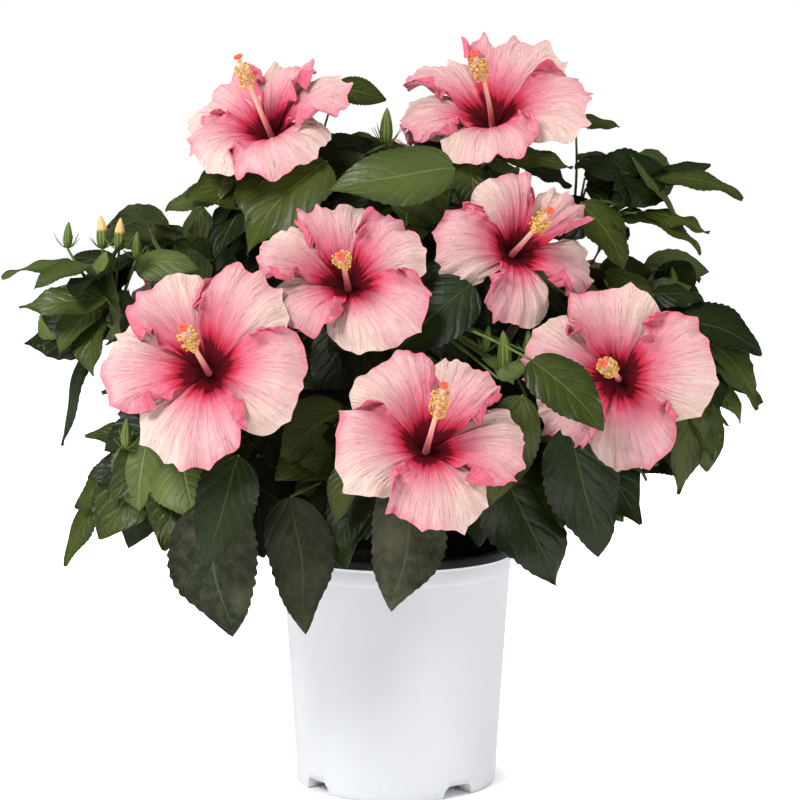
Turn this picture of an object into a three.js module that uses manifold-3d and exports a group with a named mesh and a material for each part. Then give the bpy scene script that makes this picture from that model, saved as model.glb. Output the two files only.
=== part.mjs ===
// A flowering hibiscus shrub in its round nursery pot.
// Millimetres, +Z up. The pot stands on z = 0 with its axis on the Z axis, and the full side of
// the crown faces -Y. Every mass of foliage is grown by the same rule from a few named sizes.
import * as THREE from "three";
import { mergeVertices } from "three/addons/utils/BufferGeometryUtils.js";
import Module from "manifold-3d";

const wasm = await Module();
wasm.setup();

const GAP = 0.3; // clear space between neighbouring nodes
const UP = new THREE.Vector3(0, 0, 1);
const DEGREE = Math.PI / 180;

// Pot: a tapered thin wall with a stepped lip, standing on a foot ring cut by drainage notches.
const POT = {
  tall: 170, foot: 70, brim: 81, wall: 2.2, lipTall: 7, lipOut: 1.6,
  floor: 5, hollow: 7, ringWide: 12, discRadius: 26, notches: 4, notchWide: 20, notchTall: 7, notchTurn: -52,
};
const MIX_TOP = 154; // height of the potting mix in the pot

// Trunk: leans and tapers from its root flare on the mix to the fork.
const TRUNK = { foot: [-3, 4, MIX_TOP + GAP], bend: [-6, 2, 195], fork: [3, -2, 242], flare: 13, low: 8.5, top: 6 };
const BOUGH = { foot: 4.6, tip: 2.7, pieces: 3, sides: 5 };
const STEM = { foot: 2.8, tip: 1.9, pieces: 3, sides: 3 };
const TWIG = { foot: 1.7, tip: 1.1, pieces: 2, sides: 3 };
const LEAF = {
  thick: 1.4, bow: 20, stalk: 1, rings: [0, 0.25, 0.6, 1],
  shortest: 46, longest: 76, slender: 0.56, turnStep: 137.5, clear: 8.5, every: 38,
};
const BLOOM = {
  petals: 5, notch: 0.22, throat: 13, cup: 11, lift: 3.2, thick: 2.4, length: 0.84,
  // stations along the column from inside the throat, and down the calyx to the stalk: [place, radius]
  column: [[0, 2.4], [0.5, 1.8], [0.66, 6.5], [0.84, 6.8], [0.92, 1.4], [0.97, 3.4], [1, 0]],
  calyx: [[-30, 1.6], [-20, 1.7], [-17, 4.5], [-2, 8]],
};
const BUD = [[0, 1], [0.06, 4.2], [0.35, 5], [0.75, 3.2], [1, 0]]; // sizes for a bud 20 long

// The masses of foliage. root: where its bough ends; heart: the middle of its space; space: the
// half-sizes of that space; tier: height of its bough's foot on the trunk; leaves: the leaves that
// reach furthest, each [tip x, y, z, length, width, droop, bearing]; grow: how many further shoots
// the seeded rule tries; blooms: [throat x, y, z, across, bearing, climb, spin, hand]; buds: [x, y, z, length].
const MASSES = [
  {
    name: "left", seed: 11, root: [-140, -25, 300], heart: [-200, -35, 330], space: [75, 62, 62], tier: 214,
    grow: 5,
    leaves: [
      [-270, -40, 360, 50, 20, 10, -165], [-245, -60, 355, 45, 24, 15, -145], [-255, -60, 340, 60, 26, 5, 180],
      [-230, -60, 310, 48, 37, 45, -145], [-205, -75, 295, 45, 28, 55, -90], [-235, -20, 240, 95, 24, 70, 180],
      [-135, -20, 365, 45, 30, 0, 0], [-230, 20, 370, 40, 22, -10, 150],
    ],
    blooms: [],
    buds: [[-225, -30, 387, 16], [-201, -30, 388, 19], [-189, -35, 389, 20]],
  },
  {
    name: "lower_left", seed: 22, root: [-85, -60, 232], heart: [-150, -100, 240], space: [92, 72, 95], tier: 190,
    grow: 8,
    leaves: [
      [-170, -125, 210, 48, 43, 75, -120], [-215, -80, 205, 48, 31, 40, 180], [-195, -110, 195, 40, 28, 65, -135],
      [-225, -75, 165, 52, 22, 65, -165], [-130, -150, 215, 45, 39, 55, -25], [-105, -150, 130, 95, 60, 80, 30],
      [-100, -160, 190, 75, 47, 65, -55], [-210, -75, 255, 40, 22, 0, 180],
    ],
    blooms: [[-121, -165, 310, 133, -98, 26, -19, 1]],
    buds: [],
  },
  {
    name: "front", seed: 33, root: [-12, -66, 230], heart: [-25, -110, 240], space: [75, 62, 78], tier: 178,
    grow: 8,
    leaves: [
      [-45, -140, 210, 85, 51, 40, -40], [-60, -150, 135, 90, 44, 85, 0], [-45, -140, 190, 55, 28, 70, -85],
      [-5, -165, 150, 85, 50, 80, 180], [-38, -165, 210, 40, 20, 75, -150],
    ],
    blooms: [[20, -190, 264, 121, -82, 34, -17, -1]],
    buds: [],
  },
  {
    name: "lower_right", seed: 44, root: [68, -62, 232], heart: [105, -100, 240], space: [75, 66, 80], tier: 186,
    grow: 16,
    leaves: [
      [110, -145, 165, 90, 52, 60, -5], [135, -120, 180, 90, 51, 75, -40], [147, -90, 205, 55, 30, 60, -15],
      [60, -165, 220, 75, 34, 70, -145],
    ],
    blooms: [],
    buds: [],
  },
  {
    name: "right", seed: 55, root: [125, -20, 285], heart: [185, -45, 290], space: [78, 66, 84], tier: 206,
    grow: 8,
    leaves: [
      [180, -50, 345, 42, 25, 25, -15], [210, -50, 345, 35, 24, 5, 0], [250, -60, 310, 62, 42, 20, 0],
      [190, -85, 215, 72, 28, 75, -130], [165, -60, 230, 42, 24, 10, -165], [220, -30, 275, 40, 18, 75, 10],
    ],
    blooms: [[144, -130, 300, 121, -97, 12, 12, 1]],
    buds: [],
  },
  {
    name: "upper_right", seed: 66, root: [102, 4, 355], heart: [165, -5, 410], space: [82, 66, 58], tier: 226,
    grow: 6,
    leaves: [
      [155, 10, 460, 34, 17, 10, 20], [120, -10, 445, 58, 36, -25, -160], [240, -20, 415, 62, 25, 10, -10],
      [220, 10, 435, 42, 20, -15, 15], [215, -30, 390, 48, 24, 15, -15], [210, -40, 378, 55, 27, 25, -25],
      [155, -65, 365, 55, 36, 55, -10],
    ],
    blooms: [],
    buds: [],
  },
  {
    name: "upper_left", seed: 77, root: [-48, 0, 365], heart: [-80, -25, 410], space: [85, 62, 62], tier: 232,
    grow: 9,
    leaves: [
      [-100, -85, 380, 80, 44, 45, -165], [-160, -30, 405, 55, 25, 20, 170], [-5, 0, 480, 38, 18, 10, 15],
      [-15, 10, 450, 42, 25, -5, 15], [-85, -30, 390, 52, 36, 40, -165], [-105, -30, 365, 42, 27, 30, -160],
    ],
    blooms: [[-87, -40, 460, 118, -120, 40, 20, 1]],
    buds: [[-6, -20, 459, 20]],
  },
  {
    name: "upper_middle", seed: 88, root: [32, -12, 368], heart: [50, -40, 420], space: [75, 60, 52], tier: 241,
    grow: 12,
    leaves: [
      [-45, -110, 425, 85, 40, 5, -170], [50, -75, 415, 40, 26, 70, -100], [120, -50, 435, 56, 22, 10, 0],
      [120, -30, 420, 36, 21, 25, 0],
    ],
    blooms: [[65, -20, 468, 128, -100, 54, 10, 1], [80, -90, 381, 106, -70, 25, -38, -1]],
    buds: [],
  },
  {
    name: "middle", seed: 99, root: [2, -48, 315], heart: [5, -80, 345], space: [72, 58, 58], tier: 208,
    grow: 16,
    leaves: [
      [-5, -140, 312, 75, 48, 40, -160], [35, -75, 395, 36, 21, 30, -30], [35, -70, 370, 36, 24, 55, -80],
      [130, -205, 275, 65, 38, 40, -25],
    ],
    blooms: [[-32, -130, 363, 112, -97, 37, -10, 1]],
    buds: [[71, -120, 316, 24]],
  },
  {
    name: "back_left", seed: 110, root: [-80, 62, 300], heart: [-140, 100, 310], space: [112, 92, 105], tier: 198,
    grow: 26,
    leaves: [],
    blooms: [[-165, 130, 350, 116, 140, 25, 15, -1]],
    buds: [],
  },
  {
    name: "back_right", seed: 121, root: [82, 62, 300], heart: [140, 95, 310], space: [108, 90, 105], tier: 192,
    grow: 26,
    leaves: [],
    blooms: [[150, 150, 315, 122, 50, 25, 40, 1]],
    buds: [[200, 60, 350, 18]],
  },
  {
    name: "back", seed: 132, root: [0, 78, 262], heart: [0, 150, 280], space: [88, 92, 105], tier: 184,
    grow: 30,
    leaves: [],
    blooms: [[-20, 205, 300, 118, 95, 30, -12, 1]],
    buds: [],
  },
  {
    name: "upper_back", seed: 143, root: [-4, 30, 366], heart: [-5, 85, 400], space: [105, 78, 70], tier: 220,
    grow: 34,
    leaves: [],
    blooms: [[25, 110, 430, 112, 80, 45, 25, -1]],
    buds: [[-50, 75, 462, 18]],
  },
];

const vector = (list) => new THREE.Vector3(...list);

// The same small seeded generator is used wherever the shrub grows.
function seeded(seed) {
  let state = seed;
  return () => {
    state = (state * 16807) % 2147483647;
    return state / 2147483647;
  };
}

// A closed solid from a three.js geometry. Faces that a pointed end has folded to nothing are dropped.
function solidOf(geometry) {
  geometry.deleteAttribute("normal");
  geometry.deleteAttribute("uv");
  const merged = mergeVertices(geometry, 1e-4);
  const corners = merged.index.array;
  const kept = [];
  for (let i = 0; i < corners.length; i += 3) {
    const [a, b, c] = [corners[i], corners[i + 1], corners[i + 2]];
    if (a !== b && b !== c && c !== a) kept.push(a, b, c);
  }
  return new wasm.Manifold(new wasm.Mesh({
    numProp: 3,
    vertProperties: merged.attributes.position.array,
    triVerts: new Uint32Array(kept),
  }));
}

function joined(solids) {
  return solids.reduce((all, next) => all.add(next));
}

function touches(solid, other) {
  return solid.intersect(other).volume() > 0;
}

// The largest body of a solid: it drops loose scraps and fills whatever hollow joining has sealed.
function wholeOf(solid) {
  return solid.decompose().sort((a, b) => b.volume() - a.volume())[0];
}

function meshOf(name, solid, look) {
  const { vertProperties, triVerts } = solid.getMesh();
  const geometry = new THREE.BufferGeometry();
  geometry.setAttribute("position", new THREE.BufferAttribute(new Float32Array(vertProperties), 3));
  geometry.setIndex(new THREE.BufferAttribute(new Uint32Array(triVerts), 1));
  geometry.computeVertexNormals();
  const mesh = new THREE.Mesh(geometry, new THREE.MeshStandardMaterial(look));
  mesh.name = name;
  return mesh;
}

// A closed body made from a cylinder: place(along, across, up) puts each corner, where along runs
// from 0 to 1 and across and up lie on a ring of radius 1.
function swept(sides, pieces, place) {
  const geometry = new THREE.CylinderGeometry(1, 1, 1, sides, pieces);
  const spots = geometry.attributes.position;
  for (let i = 0; i < spots.count; i += 1) {
    const spot = place(spots.getY(i) + 0.5, spots.getX(i), spots.getZ(i));
    spots.setXYZ(i, spot.x, spot.y, spot.z);
  }
  return solidOf(geometry);
}

// A body through a row of rings, each with its middle, its two cross directions and its half-sizes.
function sweptRings(sides, rings) {
  return swept(sides, rings.length - 1, (along, across, up) => {
    const { spot, side, upper, wide, high } = rings[Math.round(along * (rings.length - 1))];
    return spot.clone().addScaledVector(side, across * wide).addScaledVector(upper, up * high);
  });
}

// Round rings at the stations [place, radius] of a curve. Their cross directions are carried back
// from the curve's end without twist; `endSide` is the one at the end.
function ringsAlong(curve, stations, endSide) {
  const rings = [];
  let tangent = curve.getTangent(stations.at(-1)[0]);
  const side = endSide ? endSide.clone() : tangent.clone().cross(UP).normalize();
  for (const [place, radius] of stations.toReversed()) {
    const next = curve.getTangent(place);
    side.applyQuaternion(new THREE.Quaternion().setFromUnitVectors(tangent, next));
    tangent = next;
    const upper = side.clone().cross(tangent);
    rings.unshift({ spot: curve.getPoint(place), side: side.clone(), upper, wide: radius, high: radius });
  }
  return rings;
}

// Evenly spaced stations of a limb that tapers from its foot to its tip.
function taper({ foot, tip, pieces }) {
  return Array.from({ length: pieces + 1 }, (_, i) => [i / pieces, foot + ((tip - foot) * i) / pieces]);
}

function limb(curve, size) {
  return sweptRings(size.sides, ringsAlong(curve, taper(size)));
}

// The middle of a limb, which runs straight from ring to ring.
function onLimb(curve, along, pieces) {
  const ring = Math.min(pieces - 1, Math.floor(along * pieces));
  return curve.getPoint(ring / pieces).lerp(curve.getPoint((ring + 1) / pieces), along * pieces - ring);
}

// A curve that leaves `from` along `heading` and ends at `to`.
function bent(from, heading, to, pull = 0.4) {
  const reach = from.distanceTo(to) * pull;
  return new THREE.QuadraticBezierCurve3(from, from.clone().addScaledVector(heading, reach), to);
}

// The way a shoot leaves its stem: half along the stem, half straight to where it goes.
function leaving(stem, along, from, to) {
  return to.clone().sub(from).normalize().addScaledVector(stem.getTangent(along), 0.5).normalize();
}

function direction(bearing, climb) {
  const level = Math.cos(climb * DEGREE);
  return new THREE.Vector3(
    level * Math.cos(bearing * DEGREE), level * Math.sin(bearing * DEGREE), Math.sin(climb * DEGREE));
}

// Where a leaf lies: its foot and tip, the way it leaves its stalk and the way its upper face looks.
// A leaf bows down towards its tip, and a hanging leaf shows its upper face to the outside.
function leafPlace(tip, long, wide, heading) {
  const half = (LEAF.bow * DEGREE) / 2;
  const outward = new THREE.Vector3(tip.x, tip.y, 0).normalize();
  const face = UP.clone().addScaledVector(outward, 0.9);
  face.addScaledVector(heading, -face.dot(heading)).normalize();
  const along = heading.clone().multiplyScalar(Math.cos(half)).addScaledVector(face, Math.sin(half));
  const upper = face.clone().multiplyScalar(Math.cos(half)).addScaledVector(heading, -Math.sin(half));
  const side = along.clone().cross(upper);
  return {
    foot: tip.clone().addScaledVector(heading, -long), wide, along, upper, side,
    bend: 2 * half, length: (long * half) / Math.sin(half),
  };
}

// A point of a leaf, from 0 at its foot to 1 at its tip, and the way its face looks there.
function midrib(leaf, along) {
  const angle = leaf.bend * along;
  const scale = leaf.length / leaf.bend;
  return {
    spot: leaf.foot.clone().addScaledVector(leaf.along, scale * Math.sin(angle))
      .addScaledVector(leaf.upper, -scale * (1 - Math.cos(angle))),
    upper: leaf.upper.clone().multiplyScalar(Math.cos(angle)).addScaledVector(leaf.along, Math.sin(angle)),
  };
}

// Half the width of a leaf, broadest a third of the way along and drawn out to a point.
function leafHalfWidth(wide, along) {
  return 1.245 * wide * Math.sqrt(along) * Math.pow(1 - along, 0.9);
}

// The rings of a blade, three-sided like the twigs: two edges and the ridge of the midrib.
function bladeRings(leaf) {
  const edge = Math.sin(Math.PI / 3);
  return LEAF.rings.map((along) => {
    const { spot, upper } = midrib(leaf, along);
    const wide = along === 0 ? LEAF.stalk : leafHalfWidth(leaf.wide, along) / edge;
    return { spot, side: leaf.side, upper, wide, high: along === 1 ? 0 : LEAF.thick / 1.5 };
  });
}

// A shoot that ends in a leaf, in one body.
function leafShoot(twig, leaf) {
  const wood = ringsAlong(twig, taper(TWIG), leaf.side).slice(0, -1);
  return sweptRings(TWIG.sides, [...wood, ...bladeRings(leaf)]);
}

// A leaf whose stalk springs from a point inside its twig.
function leafOn(spot, leaf) {
  const root = { spot, side: leaf.side, upper: leaf.upper, wide: 0, high: 0 };
  return sweptRings(TWIG.sides, [root, ...bladeRings(leaf)]);
}

// One open bloom on its stalk: five broad petals in one funnel with a notched edge, the column with
// its anthers and stigma, and the calyx that its stalk ends in.
function bloomOn(stem, [x, y, z, across, bearing, climb, spin, hand]) {
  const throat = new THREE.Vector3(x, y, z);
  const axis = direction(bearing, climb);
  const level = UP.clone().cross(axis).normalize();
  const rise = axis.clone().cross(level);
  const reach = across / 2;
  const corolla = swept(BLOOM.petals * 3, 6, (along, sideways, up) => {
    const out = 1 - Math.abs(2 * along - 1);
    const angle = Math.atan2(up, sideways) - Math.PI / 2;
    const petal = (((angle * BLOOM.petals) / (2 * Math.PI)) % 1 + 1) % 1;
    const notch = 1 - BLOOM.notch * Math.pow(Math.abs(2 * petal - 1), 3);
    const raised = BLOOM.lift * hand * Math.sin(petal * 2 * Math.PI) * out;
    const height = BLOOM.cup * Math.sin(Math.PI * 0.75 * out) - BLOOM.throat * Math.pow(1 - out, 3);
    const through = (along < 0.5 ? 1 : -1) * (1 - out / 2) * (BLOOM.thick / 2);
    const turned = angle + spin * DEGREE - Math.PI / BLOOM.petals;
    return throat.clone().addScaledVector(level, out * reach * notch * Math.cos(turned))
      .addScaledVector(rise, out * reach * notch * Math.sin(turned))
      .addScaledVector(axis, height + raised + through);
  });
  const inThroat = throat.clone().addScaledVector(axis, 3 - BLOOM.throat);
  const tip = throat.clone().addScaledVector(axis, reach * BLOOM.length).addScaledVector(UP, 4);
  const column = sweptRings(4, ringsAlong(bent(inThroat, axis, tip, 0.5), BLOOM.column, level));
  const from = onLimb(stem, 0.3, STEM.pieces);
  const behind = (back) => throat.clone().addScaledVector(axis, back - BLOOM.throat);
  const stalk = new THREE.CubicBezierCurve3(
    from, from.clone().addScaledVector(stem.getTangent(0.3), 25), behind(-60), behind(-30));
  const wood = ringsAlong(stalk, taper(TWIG), level).slice(0, -1);
  const calyx = BLOOM.calyx.map(([back, radius]) => (
    { spot: behind(back + 12), side: level, upper: level.clone().cross(axis), wide: radius, high: radius }));
  return joined([corolla, column, sweptRings(4, [...wood, ...calyx])]);
}

// A closed bud at the end of its own stalk.
function budOn(stem, [x, y, z, long]) {
  const from = onLimb(stem, 0.8, STEM.pieces);
  const foot = new THREE.Vector3(x, y, z - long / 2);
  const wood = ringsAlong(bent(from, leaving(stem, 0.8, from, foot), foot), taper(TWIG));
  const { side } = wood.at(-1);
  const level = side.clone().setZ(0).normalize();
  const bud = BUD.map(([along, radius]) => ({
    spot: foot.clone().addScaledVector(UP, long * along),
    side: level, upper: level.clone().cross(UP), wide: (radius * long) / 20, high: (radius * long) / 20,
  }));
  return sweptRings(4, [...wood.slice(0, -1), ...bud]);
}

// Whether a point lies in the clear space that an open bloom looks into.
function hidesBloom(spot, [x, y, z, across, bearing, climb]) {
  const axis = direction(bearing, climb);
  const from = spot.clone().sub(new THREE.Vector3(x, y, z));
  const ahead = from.dot(axis);
  const beside = from.addScaledVector(axis, -ahead).length();
  return ahead > -12 && ahead < 60 && beside < across / 2 + 4;
}

// How far out in a mass's space a point lies: 0 is its heart and 1 its edge.
function outness(spot, { heart, space }) {
  return Math.hypot((spot.x - heart[0]) / space[0], (spot.y - heart[1]) / space[1], (spot.z - heart[2]) / space[2]);
}

// The points that stand for a leaf when others keep clear of it.
function leafSpots(leaf) {
  const spots = [0, 0.25, 0.5, 0.75, 1].map((along) => midrib(leaf, along).spot);
  for (const sideways of [-0.45, 0.45]) {
    for (const along of [0.25, 0.5]) {
      spots.push(midrib(leaf, along).spot.addScaledVector(leaf.side, sideways * leaf.wide));
    }
  }
  return spots;
}

// Whether a leaf keeps to its mass's own space, clear of the pot, and leaves the open blooms free.
function keepsItsPlace(spots, mass) {
  return spots.every((spot) => {
    const own = outness(spot, mass);
    const overPot = Math.hypot(spot.x, spot.y) < POT.brim + 8 && spot.z < POT.tall + 12;
    return own < 1.02 && !overPot
      && !MASSES.some((other) => other !== mass && outness(spot, other) < own)
      && !MASSES.some((other) => other.blooms.some((bloom) => hidesBloom(spot, bloom)));
  });
}

function keepsClear(spots, taken) {
  return spots.every((spot) => taken.every((other) => spot.distanceTo(other) > LEAF.clear));
}

// The pot. Its shell is turned from one profile that closes on the axis; the notches are cut through
// the foot ring, and the middle of the underside stands level with the ring.
function potSolid() {
  const p = POT;
  const outline = [
    [0, 0], [p.discRadius, 0], [p.discRadius + 2, p.hollow / 2], [p.foot - p.ringWide - 2, p.hollow / 2],
    [p.foot - p.ringWide, 0], [p.foot - 1.5, 0], [p.foot, 2],
    [p.brim - 0.4, p.tall - p.lipTall - 1], [p.brim - 0.4 + p.lipOut, p.tall - p.lipTall],
    [p.brim + p.lipOut, p.tall - 1], [p.brim + p.lipOut - 1, p.tall], [p.brim - p.wall, p.tall],
    [p.foot - p.wall, p.hollow + p.floor], [0, p.hollow + p.floor],
  ];
  const shell = solidOf(turned(outline, 32));
  const notches = [];
  for (let i = 0; i < p.notches; i += 1) {
    const notch = new THREE.BoxGeometry(p.ringWide + 6, p.notchWide, p.notchTall);
    notch.translate(p.foot - p.ringWide / 2 + 1, 0, p.notchTall / 2 - 1);
    notch.rotateZ((p.notchTurn - 90 + (360 / p.notches) * i) * DEGREE);
    notches.push(solidOf(notch));
  }
  return shell.subtract(joined(notches));
}

// A profile of [radius, height] turned round the Z axis.
function turned(outline, sides) {
  return new THREE.LatheGeometry(outline.map(([r, z]) => new THREE.Vector2(r, z)), sides).rotateX(Math.PI / 2);
}

// The potting mix fills the pot to below the brim, a little heaped round the trunk.
function mixSolid() {
  const { foot, brim, wall, tall, hollow, floor } = POT;
  const inside = (z) => THREE.MathUtils.mapLinear(z, hollow + floor, tall, foot - wall, brim - wall) - 2 * GAP;
  const low = hollow + floor + GAP;
  return solidOf(turned([
    [0, low], [inside(low), low], [inside(MIX_TOP - 5), MIX_TOP - 5], [inside(MIX_TOP) - 8, MIX_TOP - 2.5],
    [30, MIX_TOP], [0, MIX_TOP],
  ], 32));
}

const trunkCurve = new THREE.QuadraticBezierCurve3(vector(TRUNK.foot), vector(TRUNK.bend), vector(TRUNK.fork));

// The trunk, cut flat on the mix, with its flare round the foot. `grow` makes it thicker all round.
function trunkSolid(grow = 0) {
  return swept(10, 6, (along, across, up) => {
    const spot = trunkCurve.getPoint(along);
    const flare = (TRUNK.flare - TRUNK.low) * Math.pow(1 - Math.min(1, along / 0.35), 2);
    const radius = THREE.MathUtils.lerp(TRUNK.low, TRUNK.top, along) + flare + grow;
    spot.z += along === 1 ? grow : 0;
    return spot.add(new THREE.Vector3(across * radius, -up * radius, 0));
  });
}

// A bough leaves the trunk at the height of its tier, and ends at the root of its mass.
function boughCurve({ tier, root }) {
  const along = (tier - MIX_TOP) / (TRUNK.fork[2] - MIX_TOP);
  const from = trunkCurve.getPoint(Math.min(0.97, along));
  const to = vector(root);
  const heading = to.clone().sub(from).setZ(0).normalize().addScaledVector(UP, 0.8).normalize();
  return bent(from, heading, to, 0.45);
}

// The stem of a mass goes on from its bough's tip to the heart of its space.
function stemCurve(mass) {
  const heading = boughCurve(mass).getTangent(1);
  return bent(vector(mass.root).addScaledVector(heading, GAP), heading, vector(mass.heart), 0.45);
}

// The leaves that the seeded rule sets at the outer side of a mass's space.
function grownLeaves(mass) {
  const random = seeded(mass.seed);
  const outward = vector(mass.heart).sub(vector(TRUNK.fork)).normalize();
  const leaves = [];
  for (let i = 0; i < mass.grow; i += 1) {
    const climb = Math.asin(1 - (2 * (i + 0.5)) / mass.grow) / DEGREE;
    const spread = direction(i * LEAF.turnStep + 360 * random(), climb).addScaledVector(outward, 0.45).normalize();
    const offset = spread.multiply(vector(mass.space)).multiplyScalar(0.86 + 0.12 * random());
    const heading = offset.clone().normalize();
    heading.z -= 0.35 + 0.5 * random();
    const long = THREE.MathUtils.lerp(LEAF.shortest, LEAF.longest, random());
    leaves.push(leafPlace(vector(mass.heart).add(offset), long, long * LEAF.slender, heading.normalize()));
  }
  return leaves;
}

// The leaves along a twig, turned round it step by step, each { spot, leaf }.
function leavesAlong(twig, pieces, random) {
  const leaves = [];
  const count = Math.max(1, Math.round(twig.getLength() / LEAF.every));
  const turn = 360 * random();
  for (let i = 0; i < count; i += 1) {
    const along = (i + 0.7) / (count + 0.6);
    const tangent = twig.getTangent(along);
    const side = tangent.clone().cross(UP).normalize();
    const over = side.clone().cross(tangent);
    const angle = (turn + i * LEAF.turnStep) * DEGREE;
    const heading = side.multiplyScalar(Math.cos(angle)).addScaledVector(over, Math.sin(angle));
    heading.addScaledVector(tangent, 0.5);
    heading.z -= 0.25 + 0.3 * random();
    heading.normalize();
    const long = THREE.MathUtils.lerp(LEAF.shortest, LEAF.longest, random() * random());
    const spot = onLimb(twig, along, pieces);
    const leaf = leafPlace(spot.clone().addScaledVector(heading, long * 1.25), long, long * LEAF.slender, heading);
    leaves.push({ spot: spot.addScaledVector(leaf.along, -0.5), leaf });
  }
  return leaves;
}

const trunk = trunkSolid();
const boughs = MASSES.map((mass) => wholeOf(limb(boughCurve(mass), BOUGH).subtract(trunkSolid(GAP))));
const limbs = joined([trunk, ...boughs]);

function shootTo(stem, along, leaf) {
  const from = onLimb(stem, along, STEM.pieces);
  return bent(from, leaving(stem, along, from, leaf.foot), leaf.foot);
}

// First the stems, the leaves that reach furthest and the blooms, then what the seeded rule fills in.
const plants = MASSES.map((mass) => {
  const stem = stemCurve(mass);
  const shoots = mass.leaves.map(([x, y, z, long, wide, droop, bearing], i) => {
    const leaf = leafPlace(new THREE.Vector3(x, y, z), long, wide, direction(bearing, -droop));
    return { leaf, twig: shootTo(stem, 0.35 + (0.6 * i) / mass.leaves.length, leaf), seed: mass.seed + i };
  });
  const solids = [
    limb(stem, STEM), ...shoots.map(({ twig, leaf }) => leafShoot(twig, leaf)),
    ...mass.blooms.map((bloom) => bloomOn(stem, bloom)), ...mass.buds.map((bud) => budOn(stem, bud)),
  ];
  return { mass, stem, shoots, solid: wholeOf(joined(solids)) };
});
const taken = [
  ...MASSES.flatMap((mass) => boughCurve(mass).getSpacedPoints(8)),
  ...plants.flatMap(({ shoots }) => shoots.flatMap(({ leaf }) => leafSpots(leaf))),
];

for (const plant of plants) {
  const { mass, stem, shoots } = plant;
  const others = [limbs, ...plants.filter((other) => other !== plant).map((other) => other.solid)];
  const add = (leaf, solid) => {
    const spots = leafSpots(leaf);
    if (!keepsItsPlace(spots, mass) || !keepsClear(spots, taken)) return false;
    const grown = plant.solid.add(solid);
    if (others.some((other) => touches(solid, other)) || grown.decompose().length > 1) return false;
    taken.push(...spots);
    plant.solid = grown;
    return true;
  };
  grownLeaves(mass).forEach((leaf, i) => {
    const twig = shootTo(stem, 0.3 + (0.65 * i) / mass.grow, leaf);
    if (add(leaf, leafShoot(twig, leaf))) shoots.push({ twig, seed: mass.seed + 50 + i });
  });
  for (const { twig, seed, pieces = TWIG.pieces } of [{ twig: stem, seed: mass.seed, pieces: STEM.pieces }, ...shoots]) {
    leavesAlong(twig, pieces, seeded(seed)).forEach(({ spot, leaf }) => add(leaf, leafOn(spot, leaf)));
  }
}

const looks = {
  pot: { color: 0xf1f1ef, roughness: 0.42, metalness: 0 },
  mix: { color: 0x2e2119, roughness: 0.95, metalness: 0 },
  bark: { color: 0x8a7458, roughness: 0.85, metalness: 0 },
  foliage: { color: 0x3d6b2c, roughness: 0.5, metalness: 0 },
};

const shrub = new THREE.Group();
shrub.add(meshOf("pot", potSolid(), looks.pot));
shrub.add(meshOf("potting_mix", mixSolid(), looks.mix));
shrub.add(meshOf("trunk", trunk, looks.bark));
MASSES.forEach((mass, i) => shrub.add(meshOf("bough_" + mass.name, boughs[i], looks.bark)));
plants.forEach(({ mass, solid }) => shrub.add(meshOf("foliage_" + mass.name, solid, looks.foliage)));

export default shrub;
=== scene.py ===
"""A flowering hibiscus shrub in its nursery pot.

The sections follow the shrub as it stands: floor and light, the pot, the mix in it, the trunk and
its boughs, the twigs, the leaves, the petals of the open blooms, and last what those carry.
Sizes are in millimetres, and a mesh is turned to metres where it is made.
"""
import math

import bpy
import numpy as np
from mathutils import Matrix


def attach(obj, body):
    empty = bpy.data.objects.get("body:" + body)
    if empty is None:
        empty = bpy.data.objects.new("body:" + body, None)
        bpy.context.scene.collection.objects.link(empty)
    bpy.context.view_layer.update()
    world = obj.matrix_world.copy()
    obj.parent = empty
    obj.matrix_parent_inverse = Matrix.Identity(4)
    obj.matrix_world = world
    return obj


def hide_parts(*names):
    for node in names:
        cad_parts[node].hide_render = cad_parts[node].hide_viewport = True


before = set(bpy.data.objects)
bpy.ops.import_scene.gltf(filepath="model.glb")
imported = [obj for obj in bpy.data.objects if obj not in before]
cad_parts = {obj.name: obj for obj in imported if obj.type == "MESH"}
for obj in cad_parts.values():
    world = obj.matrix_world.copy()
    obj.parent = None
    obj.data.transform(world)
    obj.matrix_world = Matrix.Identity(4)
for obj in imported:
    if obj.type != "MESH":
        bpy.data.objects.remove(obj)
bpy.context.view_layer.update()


# ---- Floor, light and camera ----------------------------------------------------------------
# The shrub stands on a plain pale studio floor of matt paper. A large soft lamp stands high in
# front on the left. Weaker ones overhead, low in front, behind and beside it, and a pale room, fill
# the shade.
CAMERA = {"place": (0.0025, -1.809, 0.4815), "pitch": 6.67, "lens": 117.0, "film": 36.0}
LAMPS = {  # place, size across and watts
    "lamp_front": ((-1.0, -1.4, 1.8), 0.9, 47.5),
    "lamp_top": ((0.2, 0.1, 2.1), 1.3, 9.0),
    "lamp_low": ((1.1, -1.7, 0.35), 0.9, 9.0),
    "lamp_back": ((0.9, 1.7, 1.4), 1.5, 26.0),
    "lamp_left": ((-2.0, -0.3, 0.15), 0.9, 27.0),
    "lamp_right": ((1.9, -0.5, 0.12), 0.9, 12.0),
}
ROOM_LIGHT = 0.38  # of the white that the camera sees, and a quarter of it in a gloss
MIRRORED = ("lamp_front", "lamp_low")  # the lamps that show in a gloss
AIM = (0.0, 0.0, 0.28)  # where the lamps point
PAINTED_FOOT_SHADE = (0.06, 0.102)  # from the pot's foot to where its painted shade on the paper ends


def paint(code):
    """A colour written as six hex digits, as a shader wants it."""
    parts = [int(code[i:i + 2], 16) / 255 for i in (0, 2, 4)]
    return [p / 12.92 if p <= 0.04045 else ((p + 0.055) / 1.055) ** 2.4 for p in parts] + [1.0]


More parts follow.
